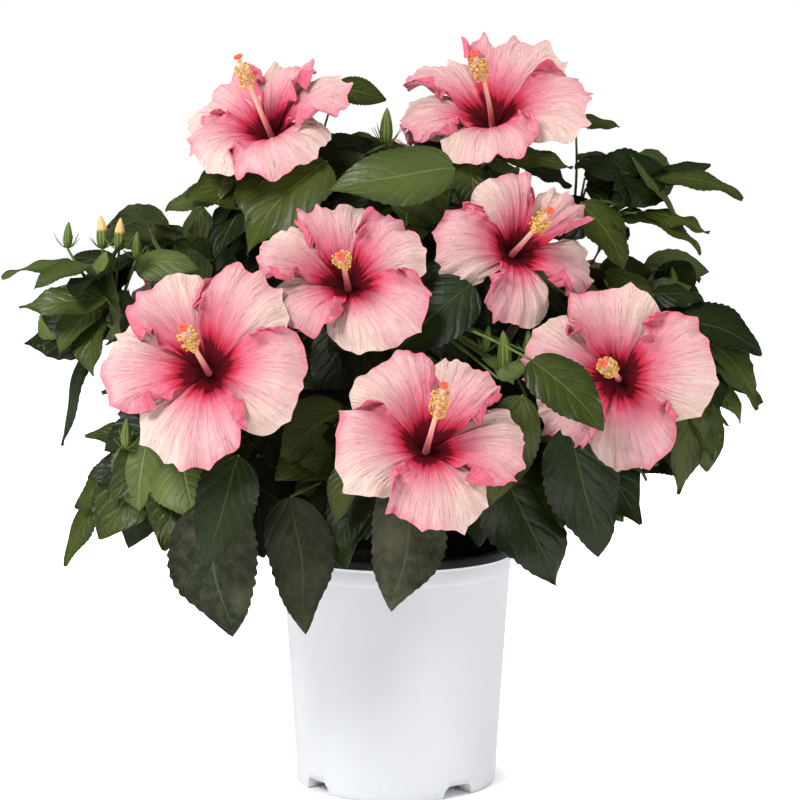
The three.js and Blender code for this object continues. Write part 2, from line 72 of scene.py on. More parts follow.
def node(tree, kind, inputs=None, **settings):
    """A node with its settings, and its inputs set to a value or joined to another socket."""
    made = tree.nodes.new(kind)
    for key, value in settings.items():
        setattr(made, key, value)
    for key, value in (inputs or {}).items():
        if isinstance(value, bpy.types.NodeSocket):
            tree.links.new(value, made.inputs[key])
        else:
            made.inputs[key].default_value = value
    return made


def finish(name, values, build):
    """A material: plain values on its shader, and the sockets that `build` returns."""
    made = bpy.data.materials.new(name)
    made.use_nodes = True
    tree = made.node_tree
    shader = tree.nodes["Principled BSDF"]
    for key, value in values.items():
        shader.inputs[key].default_value = value
    for key, socket in build(tree).items():
        tree.links.new(socket, shader.inputs[key])
    return made


def speckle(tree, place, scale, detail=2.0):
    """Cloudy noise from 0 to 1."""
    return node(tree, "ShaderNodeTexNoise", {"Vector": place, "Scale": scale, "Detail": detail}).outputs[0]


def between(tree, value, low, high):
    """A smooth step from 0 at `low` to 1 at `high`."""
    return node(tree, "ShaderNodeMapRange", {0: value, 1: low, 2: high},
                interpolation_type="SMOOTHSTEP").outputs[0]


def mixed(tree, share, first, second):
    """Two colours, each a socket, a paint or its six hex digits, mixed by the second's share."""
    first, second = (paint(tint) if isinstance(tint, str) else tint for tint in (first, second))
    return node(tree, "ShaderNodeMix", {0: share, 6: first, 7: second}, data_type="RGBA").outputs[2]


def maths(tree, operation, *values):
    return node(tree, "ShaderNodeMath", dict(enumerate(values)), operation=operation).outputs[0]


def times(tree, first, second):
    return maths(tree, "MULTIPLY", first, second)


def scaled(tree, value, factor, offset):
    return maths(tree, "MULTIPLY_ADD", value, factor, offset)


def falling(tree, value, low, high):
    """A smooth step from 1 at `low` to 0 at `high`."""
    return maths(tree, "SUBTRACT", 1.0, between(tree, value, low, high))


def bump(tree, height, strength, distance):
    """A relief of the given height in millimetres."""
    return node(tree, "ShaderNodeBump",
                {"Height": height, "Strength": strength, "Distance": distance / 1000}).outputs[0]


def own_place(tree):
    return node(tree, "ShaderNodeTexCoord").outputs["Object"]


def own_uv(tree, title):
    """The two numbers that a piece's UV map of that title holds."""
    uv_map = node(tree, "ShaderNodeUVMap", uv_map=title)
    return node(tree, "ShaderNodeSeparateXYZ", {0: uv_map.outputs[0]}).outputs[:2]


def mesh_piece(name, points, faces, materials, which=None, uv=None, tone=None, crease=50):
    """An object from points in millimetres, with its materials and its UV maps."""
    mesh = bpy.data.meshes.new(name)
    mesh.from_pydata((np.asarray(points) / 1000).tolist(), [], faces)
    for material in materials:
        mesh.materials.append(material)
    if which is not None:
        mesh.polygons.foreach_set("material_index", np.asarray(which, dtype=np.int32))
    corners = np.empty(len(mesh.loops), dtype=np.int32)
    mesh.loops.foreach_get("vertex_index", corners)
    for title, values in (("shape", uv), ("tone", tone)):
        if values is not None:
            layer = mesh.uv_layers.new(name=title)
            layer.data.foreach_set("uv", np.asarray(values, dtype=np.float32)[corners].ravel())
    mesh.polygons.foreach_set("use_smooth", np.ones(len(mesh.polygons), dtype=bool))
    mesh.set_sharp_from_angle(angle=math.radians(crease))
    mesh.validate()
    made = bpy.data.objects.new(name, mesh)
    bpy.context.scene.collection.objects.link(made)
    return made


def paper_glow_and_painted_foot_shade(tree):
    """Paper lit by the lamps and glowing white to the camera, but for a painted shade close round the pot's
    foot, where the glow fades out.
    """
    place = own_place(tree)
    cloud = speckle(tree, place, 3.0)
    seen = node(tree, "ShaderNodeLightPath").outputs["Is Camera Ray"]
    away = node(tree, "ShaderNodeVectorMath", {0: place}, operation="LENGTH").outputs["Value"]
    # Painted shade: the glow fades out close round the pot's foot, so the paper darkens there.
    glow_with_painted_foot_shade = times(tree, between(tree, away, *PAINTED_FOOT_SHADE), 0.8)
    return {"Base Color": mixed(tree, cloud, "f4f4f4", "fafafa"),
            "Emission Strength": times(tree, seen, glow_with_painted_foot_shade)}


paper = finish("floor_paper", {"Roughness": 0.9, "Emission Color": paint("ffffff")}, paper_glow_and_painted_foot_shade)
floor = mesh_piece("floor", [(-6000, -6000, 0), (6000, -6000, 0), (6000, 6000, 0), (-6000, 6000, 0)],
                   [(0, 1, 2, 3)], [paper])

for title, (place, size, watts) in LAMPS.items():
    lamp = bpy.data.objects.new(title, bpy.data.lights.new(title, "AREA"))
    lamp.data.shape = "DISK"
    lamp.data.size = size
    lamp.data.energy = watts
    lamp.location = place
    lamp.visible_glossy = title in MIRRORED
    aim = np.array(AIM) - np.array(place)
    flat = math.hypot(aim[0], aim[1])
    lamp.rotation_euler = (math.atan2(flat, -aim[2]), 0, math.atan2(aim[1], aim[0]) - math.pi / 2)
    bpy.context.scene.collection.objects.link(lamp)

room = bpy.data.worlds.new("room")
room.use_nodes = True
room_tree = room.node_tree
paths = node(room_tree, "ShaderNodeLightPath").outputs
dimmed = node(room_tree, "ShaderNodeMapRange",
              {0: paths["Is Glossy Ray"], 3: ROOM_LIGHT, 4: 0.25 * ROOM_LIGHT}).outputs[0]
strength = node(room_tree, "ShaderNodeMapRange", {0: paths["Is Camera Ray"], 3: dimmed, 4: 1.0}).outputs[0]
room_tree.nodes["Background"].inputs["Color"].default_value = (1.0, 1.0, 1.0, 1.0)
room_tree.links.new(strength, room_tree.nodes["Background"].inputs["Strength"])
bpy.context.scene.world = room
bpy.context.scene.view_settings.view_transform = "Standard"

camera = bpy.data.objects.new("camera", bpy.data.cameras.new("camera"))
camera.data.lens = CAMERA["lens"]
camera.data.sensor_width = CAMERA["film"]
camera.location = CAMERA["place"]
camera.rotation_euler = (math.radians(90 - CAMERA["pitch"]), 0, 0)
bpy.context.scene.collection.objects.link(camera)
bpy.context.scene.camera = camera


# ---- Pot --------------------------------------------------------------------------------------
# A round nursery pot blown from polythene in two layers, white outside and black inside, so that
# its rolled brim shows as a black band. Its foot is fluted and has four notches for the water.
POT = {
    "tall": 170.0, "foot": 70.0, "taper": 10.6, "collar": 152.0, "band": 163.2, "round": 360,
    "notches": 4, "notch_turn": -52.0, "notch_wide": 25.0, "notch_tall": 8.6, "flutes": 48,
    "flute_tall": 11.0,
}


def turned(outline, columns, shape=None):
    """A closed body turned round the Z axis from [radius, height] rows; its ends lie on the axis."""
    rows = [row for row in outline if row[0] > 0]
    angles = np.arange(columns) * 2 * math.pi / columns
    points = []
    for radius, height in rows:
        reach = radius + (shape(angles, radius, height) if shape else 0 * angles)
        points.append(np.stack([reach * np.cos(angles), reach * np.sin(angles), height + 0 * angles], 1))
    points = np.concatenate(points)
    faces = []
    for i in range(len(rows) - 1):
        for j in range(columns):
            k = (j + 1) % columns
            faces.append((i * columns + j, i * columns + k, (i + 1) * columns + k, (i + 1) * columns + j))
    last = (len(rows) - 1) * columns
    points = np.vstack([points, [0, 0, outline[0][1]], [0, 0, outline[-1][1]]])
    low, high = len(points) - 2, len(points) - 1
    faces += [(low, (j + 1) % columns, j) for j in range(columns)]
    faces += [(last + j, last + (j + 1) % columns, high) for j in range(columns)]
    return points, faces


def flutes(angles, radius, height):
    """The shallow flutes that run up from the foot of the wall and die out."""
    if radius < POT["foot"] - 4:
        return 0 * angles
    fade = max(0.0, 1 - height / POT["flute_tall"]) ** 1.5
    return -0.55 * fade * (0.5 + 0.5 * np.cos(angles * POT["flutes"])) ** 2


tall, collar, band = POT["tall"], POT["collar"], POT["band"]
wall_rows = [(POT["foot"] + POT["taper"] * z / 162, z) for z in np.linspace(2, collar - 2, 26)]
pot_outside = [
    (0, 0), (25.4, 0), (26.2, 0.4), (27.6, 3.1), (28.4, 3.5), (55.6, 3.5), (56.4, 3.1), (57.6, 0.4),
    (58.2, 0), (68.4, 0), (69.4, 0.5), *wall_rows,
    (80.0, collar - 0.6), (80.55, collar + 0.2), (80.75, collar + 1), (80.95, band - 2.8),
    (80.7, band - 2), (80.75, band - 1.5), (81.7, band - 0.8), (82.1, band),
]
pot_band = [(82.2, band + 0.4), (82.45, tall - 4), (82.55, tall - 1.8), (82.35, tall - 0.7),
            (81.8, tall - 0.1),
            (81.2, tall), (79.6, tall), (79.0, tall - 0.2), (78.75, tall - 0.7)]
pot_inside = [(78.6, tall - 2), (77.9, 155), (76.5, 130), (74, 92), (71, 50), (68.2, 14), (66.5, 12.2),
              (0, 12)]
pot_points, pot_faces = turned(pot_outside + pot_band + pot_inside, POT["round"], flutes)
white_rows = POT["round"] * (len(pot_outside) - 2)
pot_which = [0 if min(face) < white_rows or face[0] == len(pot_points) - 2 else 1 for face in pot_faces]


def white_plastic(tree):
    place = own_place(tree)
    height = node(tree, "ShaderNodeSeparateXYZ", {0: place}).outputs[2]
    cloud = speckle(tree, place, 14.0, 3.0)
    scuff = between(tree, speckle(tree, place, 210.0, 4.0), 0.62, 0.78)
    low = falling(tree, height, 0.0, 0.02)
    clean = mixed(tree, cloud, "cbcdd1", "d6d8dc")
    worn = mixed(tree, times(tree, scuff, scaled(tree, low, 0.5, 0.1)),
                 clean, "aeb0b5")
    grain = speckle(tree, place, 900.0, 2.0)
    rough = scaled(tree, cloud, 0.12, 0.34)
    return {"Base Color": worn, "Roughness": rough, "Normal": bump(tree, grain, 0.12, 0.05)}


def black_plastic(tree):
    place = own_place(tree)
    cloud = speckle(tree, place, 40.0, 3.0)
    return {"Base Color": mixed(tree, cloud, "050506", "0f0f11"),
            "Roughness": scaled(tree, cloud, 0.15, 0.45),
            "Normal": bump(tree, speckle(tree, place, 700.0), 0.15, 0.06)}


pot_skins = [finish("pot_white", {"Sheen Weight": 0.8, "Sheen Roughness": 0.35}, white_plastic),
             finish("pot_black", {"Specular IOR Level": 0.2}, black_plastic)]
pot = mesh_piece("pot_shell", pot_points, pot_faces, pot_skins, which=pot_which, crease=55)

# Each notch has leaning sides and a rounded top, and goes through the whole foot ring.
notch_points, notch_faces = [], []
half, shoulder = POT["notch_wide"] / 2 - 1.6, 2.6
rounding = [shoulder * math.sin(a) for a in np.linspace(0, math.pi / 2, 5)]
arch = [(-half - 2.6, -2)] + [(-(half - step), POT["notch_tall"] - shoulder + step) for step in rounding]
arch += [(-x, z) for x, z in reversed(arch)]
for i in range(POT["notches"]):
    bearing = math.radians(POT["notch_turn"] - 90 + 360 / POT["notches"] * i)
    out = np.array([math.cos(bearing), math.sin(bearing)])
    across = np.array([-out[1], out[0]])
    start, count = len(notch_points), len(arch)
    for reach in (54.0, 76.0):
        notch_points += [(*(out * reach + across * x), z) for x, z in arch]
    notch_faces += [(start + j, start + count + j, start + count + (j + 1) % count, start + (j + 1) % count)
                    for j in range(count)]
    notch_faces += [tuple(range(start, start + count)),
                    tuple(range(start + 2 * count - 1, start + count - 1, -1))]
cutter = mesh_piece("notch_cutter", notch_points, notch_faces, [])
cut = pot.modifiers.new("notches", "BOOLEAN")
cut.object = cutter
cut.operation = "DIFFERENCE"
cut.solver = "EXACT"


def as_plain_mesh(made):
    """The object with its modifiers worked into its mesh."""
    ready = bpy.data.meshes.new_from_object(made.evaluated_get(bpy.context.evaluated_depsgraph_get()))
    made.modifiers.clear()
    made.data = ready
    return made


as_plain_mesh(pot)
bpy.data.objects.remove(cutter)
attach(pot, "root")
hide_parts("pot")


# ---- Potting mix --------------------------------------------------------------------------------
# Dark bark and peat, filled to below the brim and a little heaped round the trunk. Loose crumbs of
# bark lie on it, strewn by a rule.
MIX = {"top": 154.0, "bottom": 12.6, "crumbs": 760, "crumb": 2.6}
rng = np.random.default_rng(5)
lumps = rng.normal(size=(24, 4))


def heaped(x, y):
    """The uneven height of the mix."""
    total = 0 * x
    for i, (a, b, c, d) in enumerate(lumps):
        total = total + math.sin(d * 3) * np.sin((a * x + b * y) * (0.03 + 0.006 * i) + c * 6)
    return total * 0.28


mix_rows = [(0, MIX["bottom"]), (60, MIX["bottom"]), (67.4, MIX["bottom"] + 0.6)]
mix_rows += [(70.5, 50), (75.4, 120), (77.0, 148.5)]
mix_rows += [(r, MIX["top"] - 4.5 * (r / 76.5) ** 4) for r in np.linspace(76.4, 4, 30)] + [(0, MIX["top"])]
mix_points, mix_faces = turned(mix_rows, 120)
upper = mix_points[:, 2] > 149
mix_points[upper, 2] += heaped(mix_points[upper, 0], mix_points[upper, 1]) - 0.9


def damp_bark(tree):
    place = own_place(tree)
    crumb = node(tree, "ShaderNodeTexVoronoi", {"Vector": place, "Scale": 320.0})
    tint = mixed(tree, speckle(tree, place, 120.0, 4.0), "080503", "21160f")
    return {"Base Color": mixed(tree, times(tree, crumb.outputs[0], 0.6), tint, "35251a"),
            "Normal": bump(tree, crumb.outputs[0], 0.8, 1.6)}


damp_mix = finish("mix_damp_bark", {"Roughness": 0.92, "Specular IOR Level": 0.25}, damp_bark)
mix = mesh_piece("mix_fill", mix_points, mix_faces, [damp_mix])


def number_inputs(tree, *titles):
    """Gives a Geometry Nodes tree a number for each title and a seed, and returns their identifiers."""
    kinds = {title: "NodeSocketFloat" for title in titles}
    kinds["Seed"] = "NodeSocketInt"
    return {title: tree.interface.new_socket(title, in_out="INPUT", socket_type=kind).identifier
            for title, kind in kinds.items()}


strew = bpy.data.node_groups.new("strewn_crumbs", "GeometryNodeTree")
strew.interface.new_socket("Surface", in_out="INPUT", socket_type="NodeSocketGeometry")
strew.interface.new_socket("Crumbs", in_out="OUTPUT", socket_type="NodeSocketGeometry")
crumb_inputs = number_inputs(strew, "Density", "Size")
given = node(strew, "NodeGroupInput").outputs
rise_of = node(strew, "ShaderNodeSeparateXYZ",
               {0: node(strew, "GeometryNodeInputNormal").outputs[0]}).outputs[2]
facing_up = node(strew, "FunctionNodeCompare", {0: rise_of, 1: 0.7},
                 data_type="FLOAT", operation="GREATER_THAN").outputs[0]
spread = node(strew, "GeometryNodeDistributePointsOnFaces",
              {"Mesh": given["Surface"], "Selection": facing_up,
               "Density": given["Density"], "Seed": given["Seed"]})
lump = node(strew, "GeometryNodeMeshIcoSphere", {"Radius": 1.0, "Subdivisions": 1})
turn = node(strew, "FunctionNodeRandomValue", {"Max": (6.28, 6.28, 6.28), "Seed": given["Seed"]},
            data_type="FLOAT_VECTOR")
stretch = node(strew, "FunctionNodeRandomValue",
               {"Min": (0.5, 0.3, 0.25), "Max": (1.6, 0.8, 0.6), "Seed": given["Seed"]},
               data_type="FLOAT_VECTOR")
sized = node(strew, "ShaderNodeVectorMath", {0: stretch.outputs[0], "Scale": given["Size"]},
             operation="SCALE")
strewn = node(strew, "GeometryNodeInstanceOnPoints",
              {"Points": spread.outputs["Points"], "Instance": lump.outputs["Mesh"],
               "Rotation": turn.outputs[0], "Scale": sized.outputs[0]})
solid_crumbs = node(strew, "GeometryNodeRealizeInstances", {"Geometry": strewn.outputs[0]})
coated = node(strew, "GeometryNodeSetMaterial", {"Geometry": solid_crumbs.outputs[0], "Material": damp_mix})
node(strew, "NodeGroupOutput", {"Crumbs": coated.outputs[0]})

crumbs = mesh_piece("mix_crumbs", mix_points, mix_faces, [damp_mix])
strewing = crumbs.modifiers.new("crumbs", "NODES")
strewing.node_group = strew
strewing[crumb_inputs["Density"]] = MIX["crumbs"] / (math.pi * 0.076 ** 2)
strewing[crumb_inputs["Size"]] = MIX["crumb"] / 1000
strewing[crumb_inputs["Seed"]] = 3
as_plain_mesh(crumbs)
for made in (mix, crumbs):
    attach(made, "root")
    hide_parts("potting_mix")


# ---- Trunk and boughs ---------------------------------------------------------------------------
# A short woody trunk, leaning a little, with a flare of roots at its foot. Its boughs leave it one
# above the other and thin out to where the foliage begins. The bark is grey-brown, with pale spots.
GAP = 0.3
UP = np.array([0.0, 0.0, 1.0])
MIX_TOP = MIX["top"]
TRUNK = {"foot": (-3, 4, MIX_TOP + GAP), "bend": (-6, 2, 195), "fork": (3, -2, 242), "flare": 13,
         "low": 8.5, "top": 6}
BOUGH = {"foot": 4.6, "tip": 2.7}

# The masses of foliage. root: where the bough ends; heart: the middle of its space; space: half-sizes
# of that space; tier: height of the bough's foot; leaves: the ones that reach furthest, each
# (tip x, y, z, length, width, droop, bearing, kind); grow: shoots that the rule tries; low and high:
# the heights that its leaves keep between, where the crown is open; blooms: (throat x, y, z, across,
# bearing, climb, spin, hand); buds: (x, y, z, length).
MASSES = [
    dict(name="left", seed=11, root=(-140, -25, 300), heart=(-200, -35, 330), space=(75, 62, 62), tier=214,
         grow=5,
         leaves=[(-270, -40, 360, 50, 20, 10, -165, "olive"), (-245, -60, 355, 45, 24, 15, -145, "olive"),
                 (-255, -60, 340, 60, 26, 5, 180, "olive"), (-230, -60, 310, 48, 37, 45, -145, "olive"),
                 (-205, -75, 295, 45, 28, 55, -90, "green"), (-235, -20, 240, 95, 24, 70, 180, "deep"),
                 (-135, -20, 365, 45, 30, 0, 0, "young"), (-230, 20, 370, 40, 22, -10, 150, "deep")],
         blooms=[], buds=[(-225, -30, 387, 18), (-201, -30, 389, 23), (-189, -35, 388, 22),
                          (-178, -32, 380, 19)]),
    dict(name="lower_left", seed=22, root=(-85, -60, 232), heart=(-150, -100, 240), space=(76, 72, 95),
         tier=190, grow=8, low=182,
         leaves=[(-170, -125, 210, 48, 43, 75, -120, "young"), (-215, -80, 205, 48, 31, 40, 180, "green"),
                 (-195, -110, 195, 40, 28, 65, -135, "green"), (-225, -75, 165, 52, 22, 65, -165, "green"),
                 (-130, -158, 212, 46, 50, 50, -70, "young"), (-105, -150, 130, 95, 60, 80, 30, "old"),
                 (-122, -178, 184, 74, 44, 72, -165, "deep"), (-210, -75, 255, 40, 22, 0, 180, "green"),
                 (-88, -118, 178, 72, 46, 75, -40, "dusky_painted_shade"), (-128, -128, 172, 66, 42, 75, -120, "deep")],
         blooms=[(-121, -165, 310, 133, -98, 26, -19, 1)], buds=[(-177, -120, 262, 20)]),
    dict(name="front", seed=33, root=(-12, -66, 230), heart=(-25, -110, 240), space=(75, 62, 78), tier=178,
         grow=8,
         leaves=[(-45, -140, 210, 85, 51, 40, -40, "deep"), (-60, -150, 135, 90, 44, 85, 0, "dusky_painted_shade"),
                 (-45, -140, 190, 55, 28, 70, -85, "old"), (-5, -165, 150, 85, 50, 80, 180, "old"),
                 (-38, -165, 210, 40, 20, 75, -150, "green"),
                 (-43, -95, 270, 62, 42, 72, -110, "deep"),
                 (-50, -112, 178, 74, 46, 80, -60, "dusky_painted_shade"), (-20, -128, 192, 62, 36, 72, -100, "deep"),
                 (-78, -105, 196, 60, 40, 70, -150, "deep")],
         blooms=[(20, -190, 264, 121, -82, 34, -17, -1)], buds=[]),
    dict(name="lower_right", seed=44, root=(68, -62, 232), heart=(105, -100, 240), space=(75, 66, 80),
         tier=186, grow=16, low=200,
         leaves=[(108, -145, 165, 92, 60, 62, -5, "deep"), (135, -147, 183, 90, 56, 74, -8, "deep"),
                 (147, -90, 205, 55, 30, 60, -15, "deep"), (60, -165, 220, 75, 34, 70, -145, "green"),
                 (56, -84, 180, 72, 44, 74, -85, "deep"), (66, -78, 258, 60, 42, 68, -95, "deep"),
                 (96, -66, 236, 62, 42, 62, -50, "green")],
         blooms=[], buds=[]),
    dict(name="right", seed=55, root=(125, -20, 285), heart=(185, -45, 290), space=(78, 66, 84), tier=206,
         grow=8,
         leaves=[(180, -50, 345, 42, 25, 25, -15, "green"), (210, -50, 345, 35, 24, 5, 0, "deep"),
                 (250, -60, 310, 62, 42, 20, 0, "deep"), (190, -85, 215, 72, 28, 75, -130, "green"),
                 (165, -60, 230, 42, 24, 10, -165, "deep"), (220, -30, 275, 40, 18, 75, 10, "deep"),
                 (86, -38, 324, 60, 42, 58, -50, "green"), (120, -52, 262, 60, 42, 65, -40, "deep")],
         blooms=[(144, -130, 300, 121, -97, 12, 12, 1)], buds=[]),
    dict(name="upper_right", seed=66, root=(102, 4, 355), heart=(165, -5, 410), space=(82, 66, 58),
         tier=226, grow=6, high=446,
         leaves=[(155, 10, 460, 34, 17, 10, 20, "green"), (122, -22, 436, 66, 42, -12, -168, "deep"),
                 (240, -20, 415, 62, 25, 10, -10, "green"), (220, 10, 435, 42, 20, -15, 15, "deep"),
                 (215, -30, 390, 48, 24, 15, -15, "green"), (210, -40, 378, 55, 27, 25, -25, "green"),
                 (155, -65, 365, 55, 36, 55, -10, "green")],
         blooms=[], buds=[]),
    dict(name="upper_left", seed=77, root=(-48, 0, 365), heart=(-80, -25, 410), space=(85, 62, 62),
         tier=232, grow=9,
         leaves=[(-104, -85, 379, 84, 56, 45, -165, "green"), (-160, -30, 405, 55, 25, 20, 170, "olive"),
                 (-6, 0, 479, 37, 23, 12, 15, "green"), (-15, 10, 450, 42, 25, -5, 15, "deep"),
                 (-85, -30, 390, 52, 36, 40, -165, "olive"), (-105, -30, 365, 42, 27, 30, -160, "deep")],
         blooms=[(-87, -40, 460, 118, -120, 50, 20, -1)], buds=[(-7, -20, 461, 25)]),
    dict(name="upper_middle", seed=88, root=(32, -12, 368), heart=(50, -40, 420), space=(75, 60, 52),
         tier=241, grow=12,
         leaves=[(-45, -110, 424, 85, 47, 7, -170, "olive"), (50, -70, 400, 40, 26, 62, -90, "olive"),
                 (120, -50, 435, 56, 22, 10, 0, "green"), (120, -30, 420, 36, 21, 25, 0, "deep")],
         blooms=[(65, -20, 468, 128, -100, 54, 10, 1), (80, -90, 381, 106, -70, 25, -38, -1)], buds=[]),
    dict(name="middle", seed=99, root=(2, -48, 315), heart=(5, -80, 345), space=(72, 58, 58), tier=208,
         grow=16,
         leaves=[(-5, -140, 312, 75, 48, 40, -160, "deep"), (35, -75, 395, 36, 21, 30, -30, "green"),
                 (35, -70, 370, 36, 24, 55, -80, "deep"), (130, -205, 275, 65, 38, 40, -25, "green"),
                 (56, -122, 312, 26, 13, -25, -165, "young"), (88, -122, 312, 26, 12, -30, 15, "young"),
                 (76, -132, 296, 22, 11, 30, -60, "young"), (16, -92, 244, 62, 46, 66, -60, "dusky_painted_shade"),
                 (-24, -100, 284, 58, 40, 62, -120, "dusky_painted_shade"), (62, -20, 272, 62, 46, 62, -50, "dusky_painted_shade")],
         blooms=[(-32, -130, 363, 112, -97, 37, -10, 1)],
         buds=[(71, -120, 316, 27), (59, -114, 324, 17), (87, -112, 322, 16)]),
    dict(name="back_left", seed=110, root=(-80, 62, 300), heart=(-140, 100, 310), space=(112, 92, 105),
         tier=198, grow=26,
         leaves=[(-150, 22, 262, 66, 42, 65, -165, "deep"), (-112, 15, 238, 62, 40, 70, -120, "deep"),
                 (-178, 30, 292, 62, 40, 50, 180, "green"), (-120, 8, 300, 60, 38, 50, -110, "deep"),
                 (-195, 12, 258, 60, 38, 65, 170, "deep"), (-135, 40, 222, 62, 40, 75, 160, "deep"),
                 (-90, 25, 265, 58, 38, 60, -160, "deep"), (-160, 5, 318, 58, 38, 40, -150, "green")],
         blooms=[(-160, 132, 310, 116, 140, 10, 15, -1)], buds=[]),
    dict(name="back_right", seed=121, root=(82, 62, 300), heart=(140, 95, 310), space=(108, 90, 105),
         tier=192, grow=26, high=366,
         leaves=[(150, 22, 262, 66, 42, 65, -15, "deep"), (112, 15, 238, 62, 40, 70, -60, "deep"),
                 (178, 30, 292, 62, 40, 50, 0, "green"), (120, 8, 300, 60, 38, 50, -70, "deep"),
                 (195, 12, 258, 60, 38, 65, 10, "deep"), (135, 40, 222, 62, 40, 75, 20, "deep"),
                 (90, 25, 265, 58, 38, 60, -20, "deep"), (160, 5, 318, 58, 38, 40, -30, "green"),
                 (112, 12, 338, 60, 42, 50, -40, "green"), (98, 34, 352, 56, 38, 35, 10, "green")],
         blooms=[(150, 150, 303, 120, 50, 22, 40, 1)], buds=[(200, 60, 350, 18)]),
    dict(name="back", seed=132, root=(0, 78, 262), heart=(0, 150, 280), space=(88, 92, 105), tier=184,
         grow=30,
         leaves=[], blooms=[(-20, 205, 300, 118, 95, 30, -12, 1)], buds=[]),
    dict(name="upper_back", seed=143, root=(-4, 30, 366), heart=(-5, 85, 400), space=(105, 78, 70),
         tier=220, grow=34,
         leaves=[], blooms=[(25, 116, 416, 112, 80, 45, 25, -1)], buds=[(-50, 85, 436, 18)]),
]


def unit(way):
    return way / np.linalg.norm(way)


class Bend:
    """A smooth bend with its control points."""

    def __init__(self, *points):
        self.points = [np.asarray(point, dtype=float) for point in points]

    def at(self, along):
        points = self.points
        while len(points) > 1:
            points = [a + (b - a) * along for a, b in zip(points, points[1:])]
        return points[0]

    def way(self, along):
        return unit(self.at(min(1, along + 1e-4)) - self.at(max(0, along - 1e-4)))

    def length(self):
        spots = np.array([self.at(t) for t in np.linspace(0, 1, 41)])
        return np.linalg.norm(np.diff(spots, axis=0), axis=1).sum()


def bent(start, heading, end, pull=0.4):
    """A bend that leaves `start` along `heading` and ends at `end`."""
    start, end = np.asarray(start, dtype=float), np.asarray(end, dtype=float)
    return Bend(start, start + heading * np.linalg.norm(end - start) * pull, end)


trunk_line = Bend(TRUNK["foot"], TRUNK["bend"], TRUNK["fork"])


def bough_line(mass):
    """A bough leaves the trunk at the height of its tier and ends at the root of its mass."""
    along = (mass["tier"] - MIX_TOP) / (TRUNK["fork"][2] - MIX_TOP)
    start = trunk_line.at(min(0.97, along))
    heading = np.array(mass["root"], dtype=float) - start
    heading[2] = 0
    return bent(start, unit(unit(heading) + 0.8 * UP), mass["root"], 0.45)


def stem_line(mass):
    """The stem of a mass goes on from its bough's tip to the heart of its space."""
    heading = bough_line(mass).way(1)
    return bent(np.array(mass["root"]) + heading * GAP, heading, mass["heart"], 0.45)


class Heap:
    """Bodies gathered into one mesh."""

    def __init__(self):
        self.points, self.faces, self.uv, self.tone, self.which, self.count = [], [], [], [], [], 0

    def add(self, points, faces, uv, which=None, tone=(0.0, 0.0)):
        self.points.append(points)
        self.uv.append(uv)
        self.tone.append(np.tile(tone, (len(points), 1)))
        self.faces += [tuple(corner + self.count for corner in face) for face in faces]
        self.which += list(which) if which is not None else [0] * len(faces)
        self.count += len(points)

    def piece(self, name, materials, crease=50):
        return mesh_piece(name, np.concatenate(self.points), self.faces, materials, which=self.which,
                          uv=np.concatenate(self.uv), tone=np.concatenate(self.tone), crease=crease)


def tube(line, radii, sides, relief=None):
    """A round body along a line of spots, closed at both ends. Returns points, faces and UV."""
    line, radii = np.asarray(line, dtype=float), np.asarray(radii, dtype=float)
    ways = np.gradient(line, axis=0)
    ways /= np.linalg.norm(ways, axis=1)[:, None]
    side = np.cross(ways[0], UP if abs(ways[0][2]) < 0.9 else np.array([1.0, 0, 0]))
    angles = np.arange(sides) * 2 * math.pi / sides
    rings, uv = [], []
    for i, (spot, way) in enumerate(zip(line, ways)):
        side = unit(side - way * side.dot(way))
        over = np.cross(way, side)
        reach = radii[i] * (1 + (relief(i / (len(line) - 1), angles) if relief else 0 * angles))
        rings.append(spot + np.outer(reach * np.cos(angles), side) + np.outer(reach * np.sin(angles), over))
        uv.append(np.stack([angles / (2 * math.pi), 0 * angles + i / (len(line) - 1)], 1))
    points = np.vstack([*rings, line[0], line[-1]])
    uv = np.vstack([*uv, (0.5, 0), (0.5, 1)])
    faces = [(i * sides + j, i * sides + (j + 1) % sides, (i + 1) * sides + (j + 1) % sides,
              (i + 1) * sides + j)
             for i in range(len(line) - 1) for j in range(sides)]
    last, low, high = (len(line) - 1) * sides, len(points) - 2, len(points) - 1
    faces += [(low, (j + 1) % sides, j) for j in range(sides)]
    faces += [(last + j, last + (j + 1) % sides, high) for j in range(sides)]
    return points, faces, uv


def grey_bark(tree):
    place = own_place(tree)
    along = node(tree, "ShaderNodeMapping", {"Vector": place, "Scale": (1.0, 1.0, 0.25)},
                 vector_type="POINT").outputs[0]
    fissure = speckle(tree, along, 420.0, 5.0)
    spots = node(tree, "ShaderNodeTexVoronoi", {"Vector": place, "Scale": 260.0}).outputs[0]
    pale = falling(tree, spots, 0.12, 0.24)
    tint = mixed(tree, fissure, "33291d", "6a5b46")
    height = node(tree, "ShaderNodeSeparateXYZ", {0: place}).outputs[2]
    greener = mixed(tree, times(tree, between(tree, height, 0.22, 0.36), 0.55), tint, "5d6638")
    return {"Base Color": mixed(tree, times(tree, pale, 0.6), greener, "8f8468"),
            "Normal": bump(tree, maths(tree, "ADD", fissure, pale), 0.7, 0.7)}


bark = finish("bark_grey", {"Roughness": 0.8, "Specular IOR Level": 0.3}, grey_bark)
wood = Heap()
steps = np.linspace(0, 1, 60)
trunk_radii = TRUNK["low"] + (TRUNK["top"] - TRUNK["low"]) * steps
trunk_radii += (TRUNK["flare"] - TRUNK["low"]) * (1 - np.minimum(1, steps / 0.35)) ** 2
ridges = rng.uniform(0, 6.28, 12)


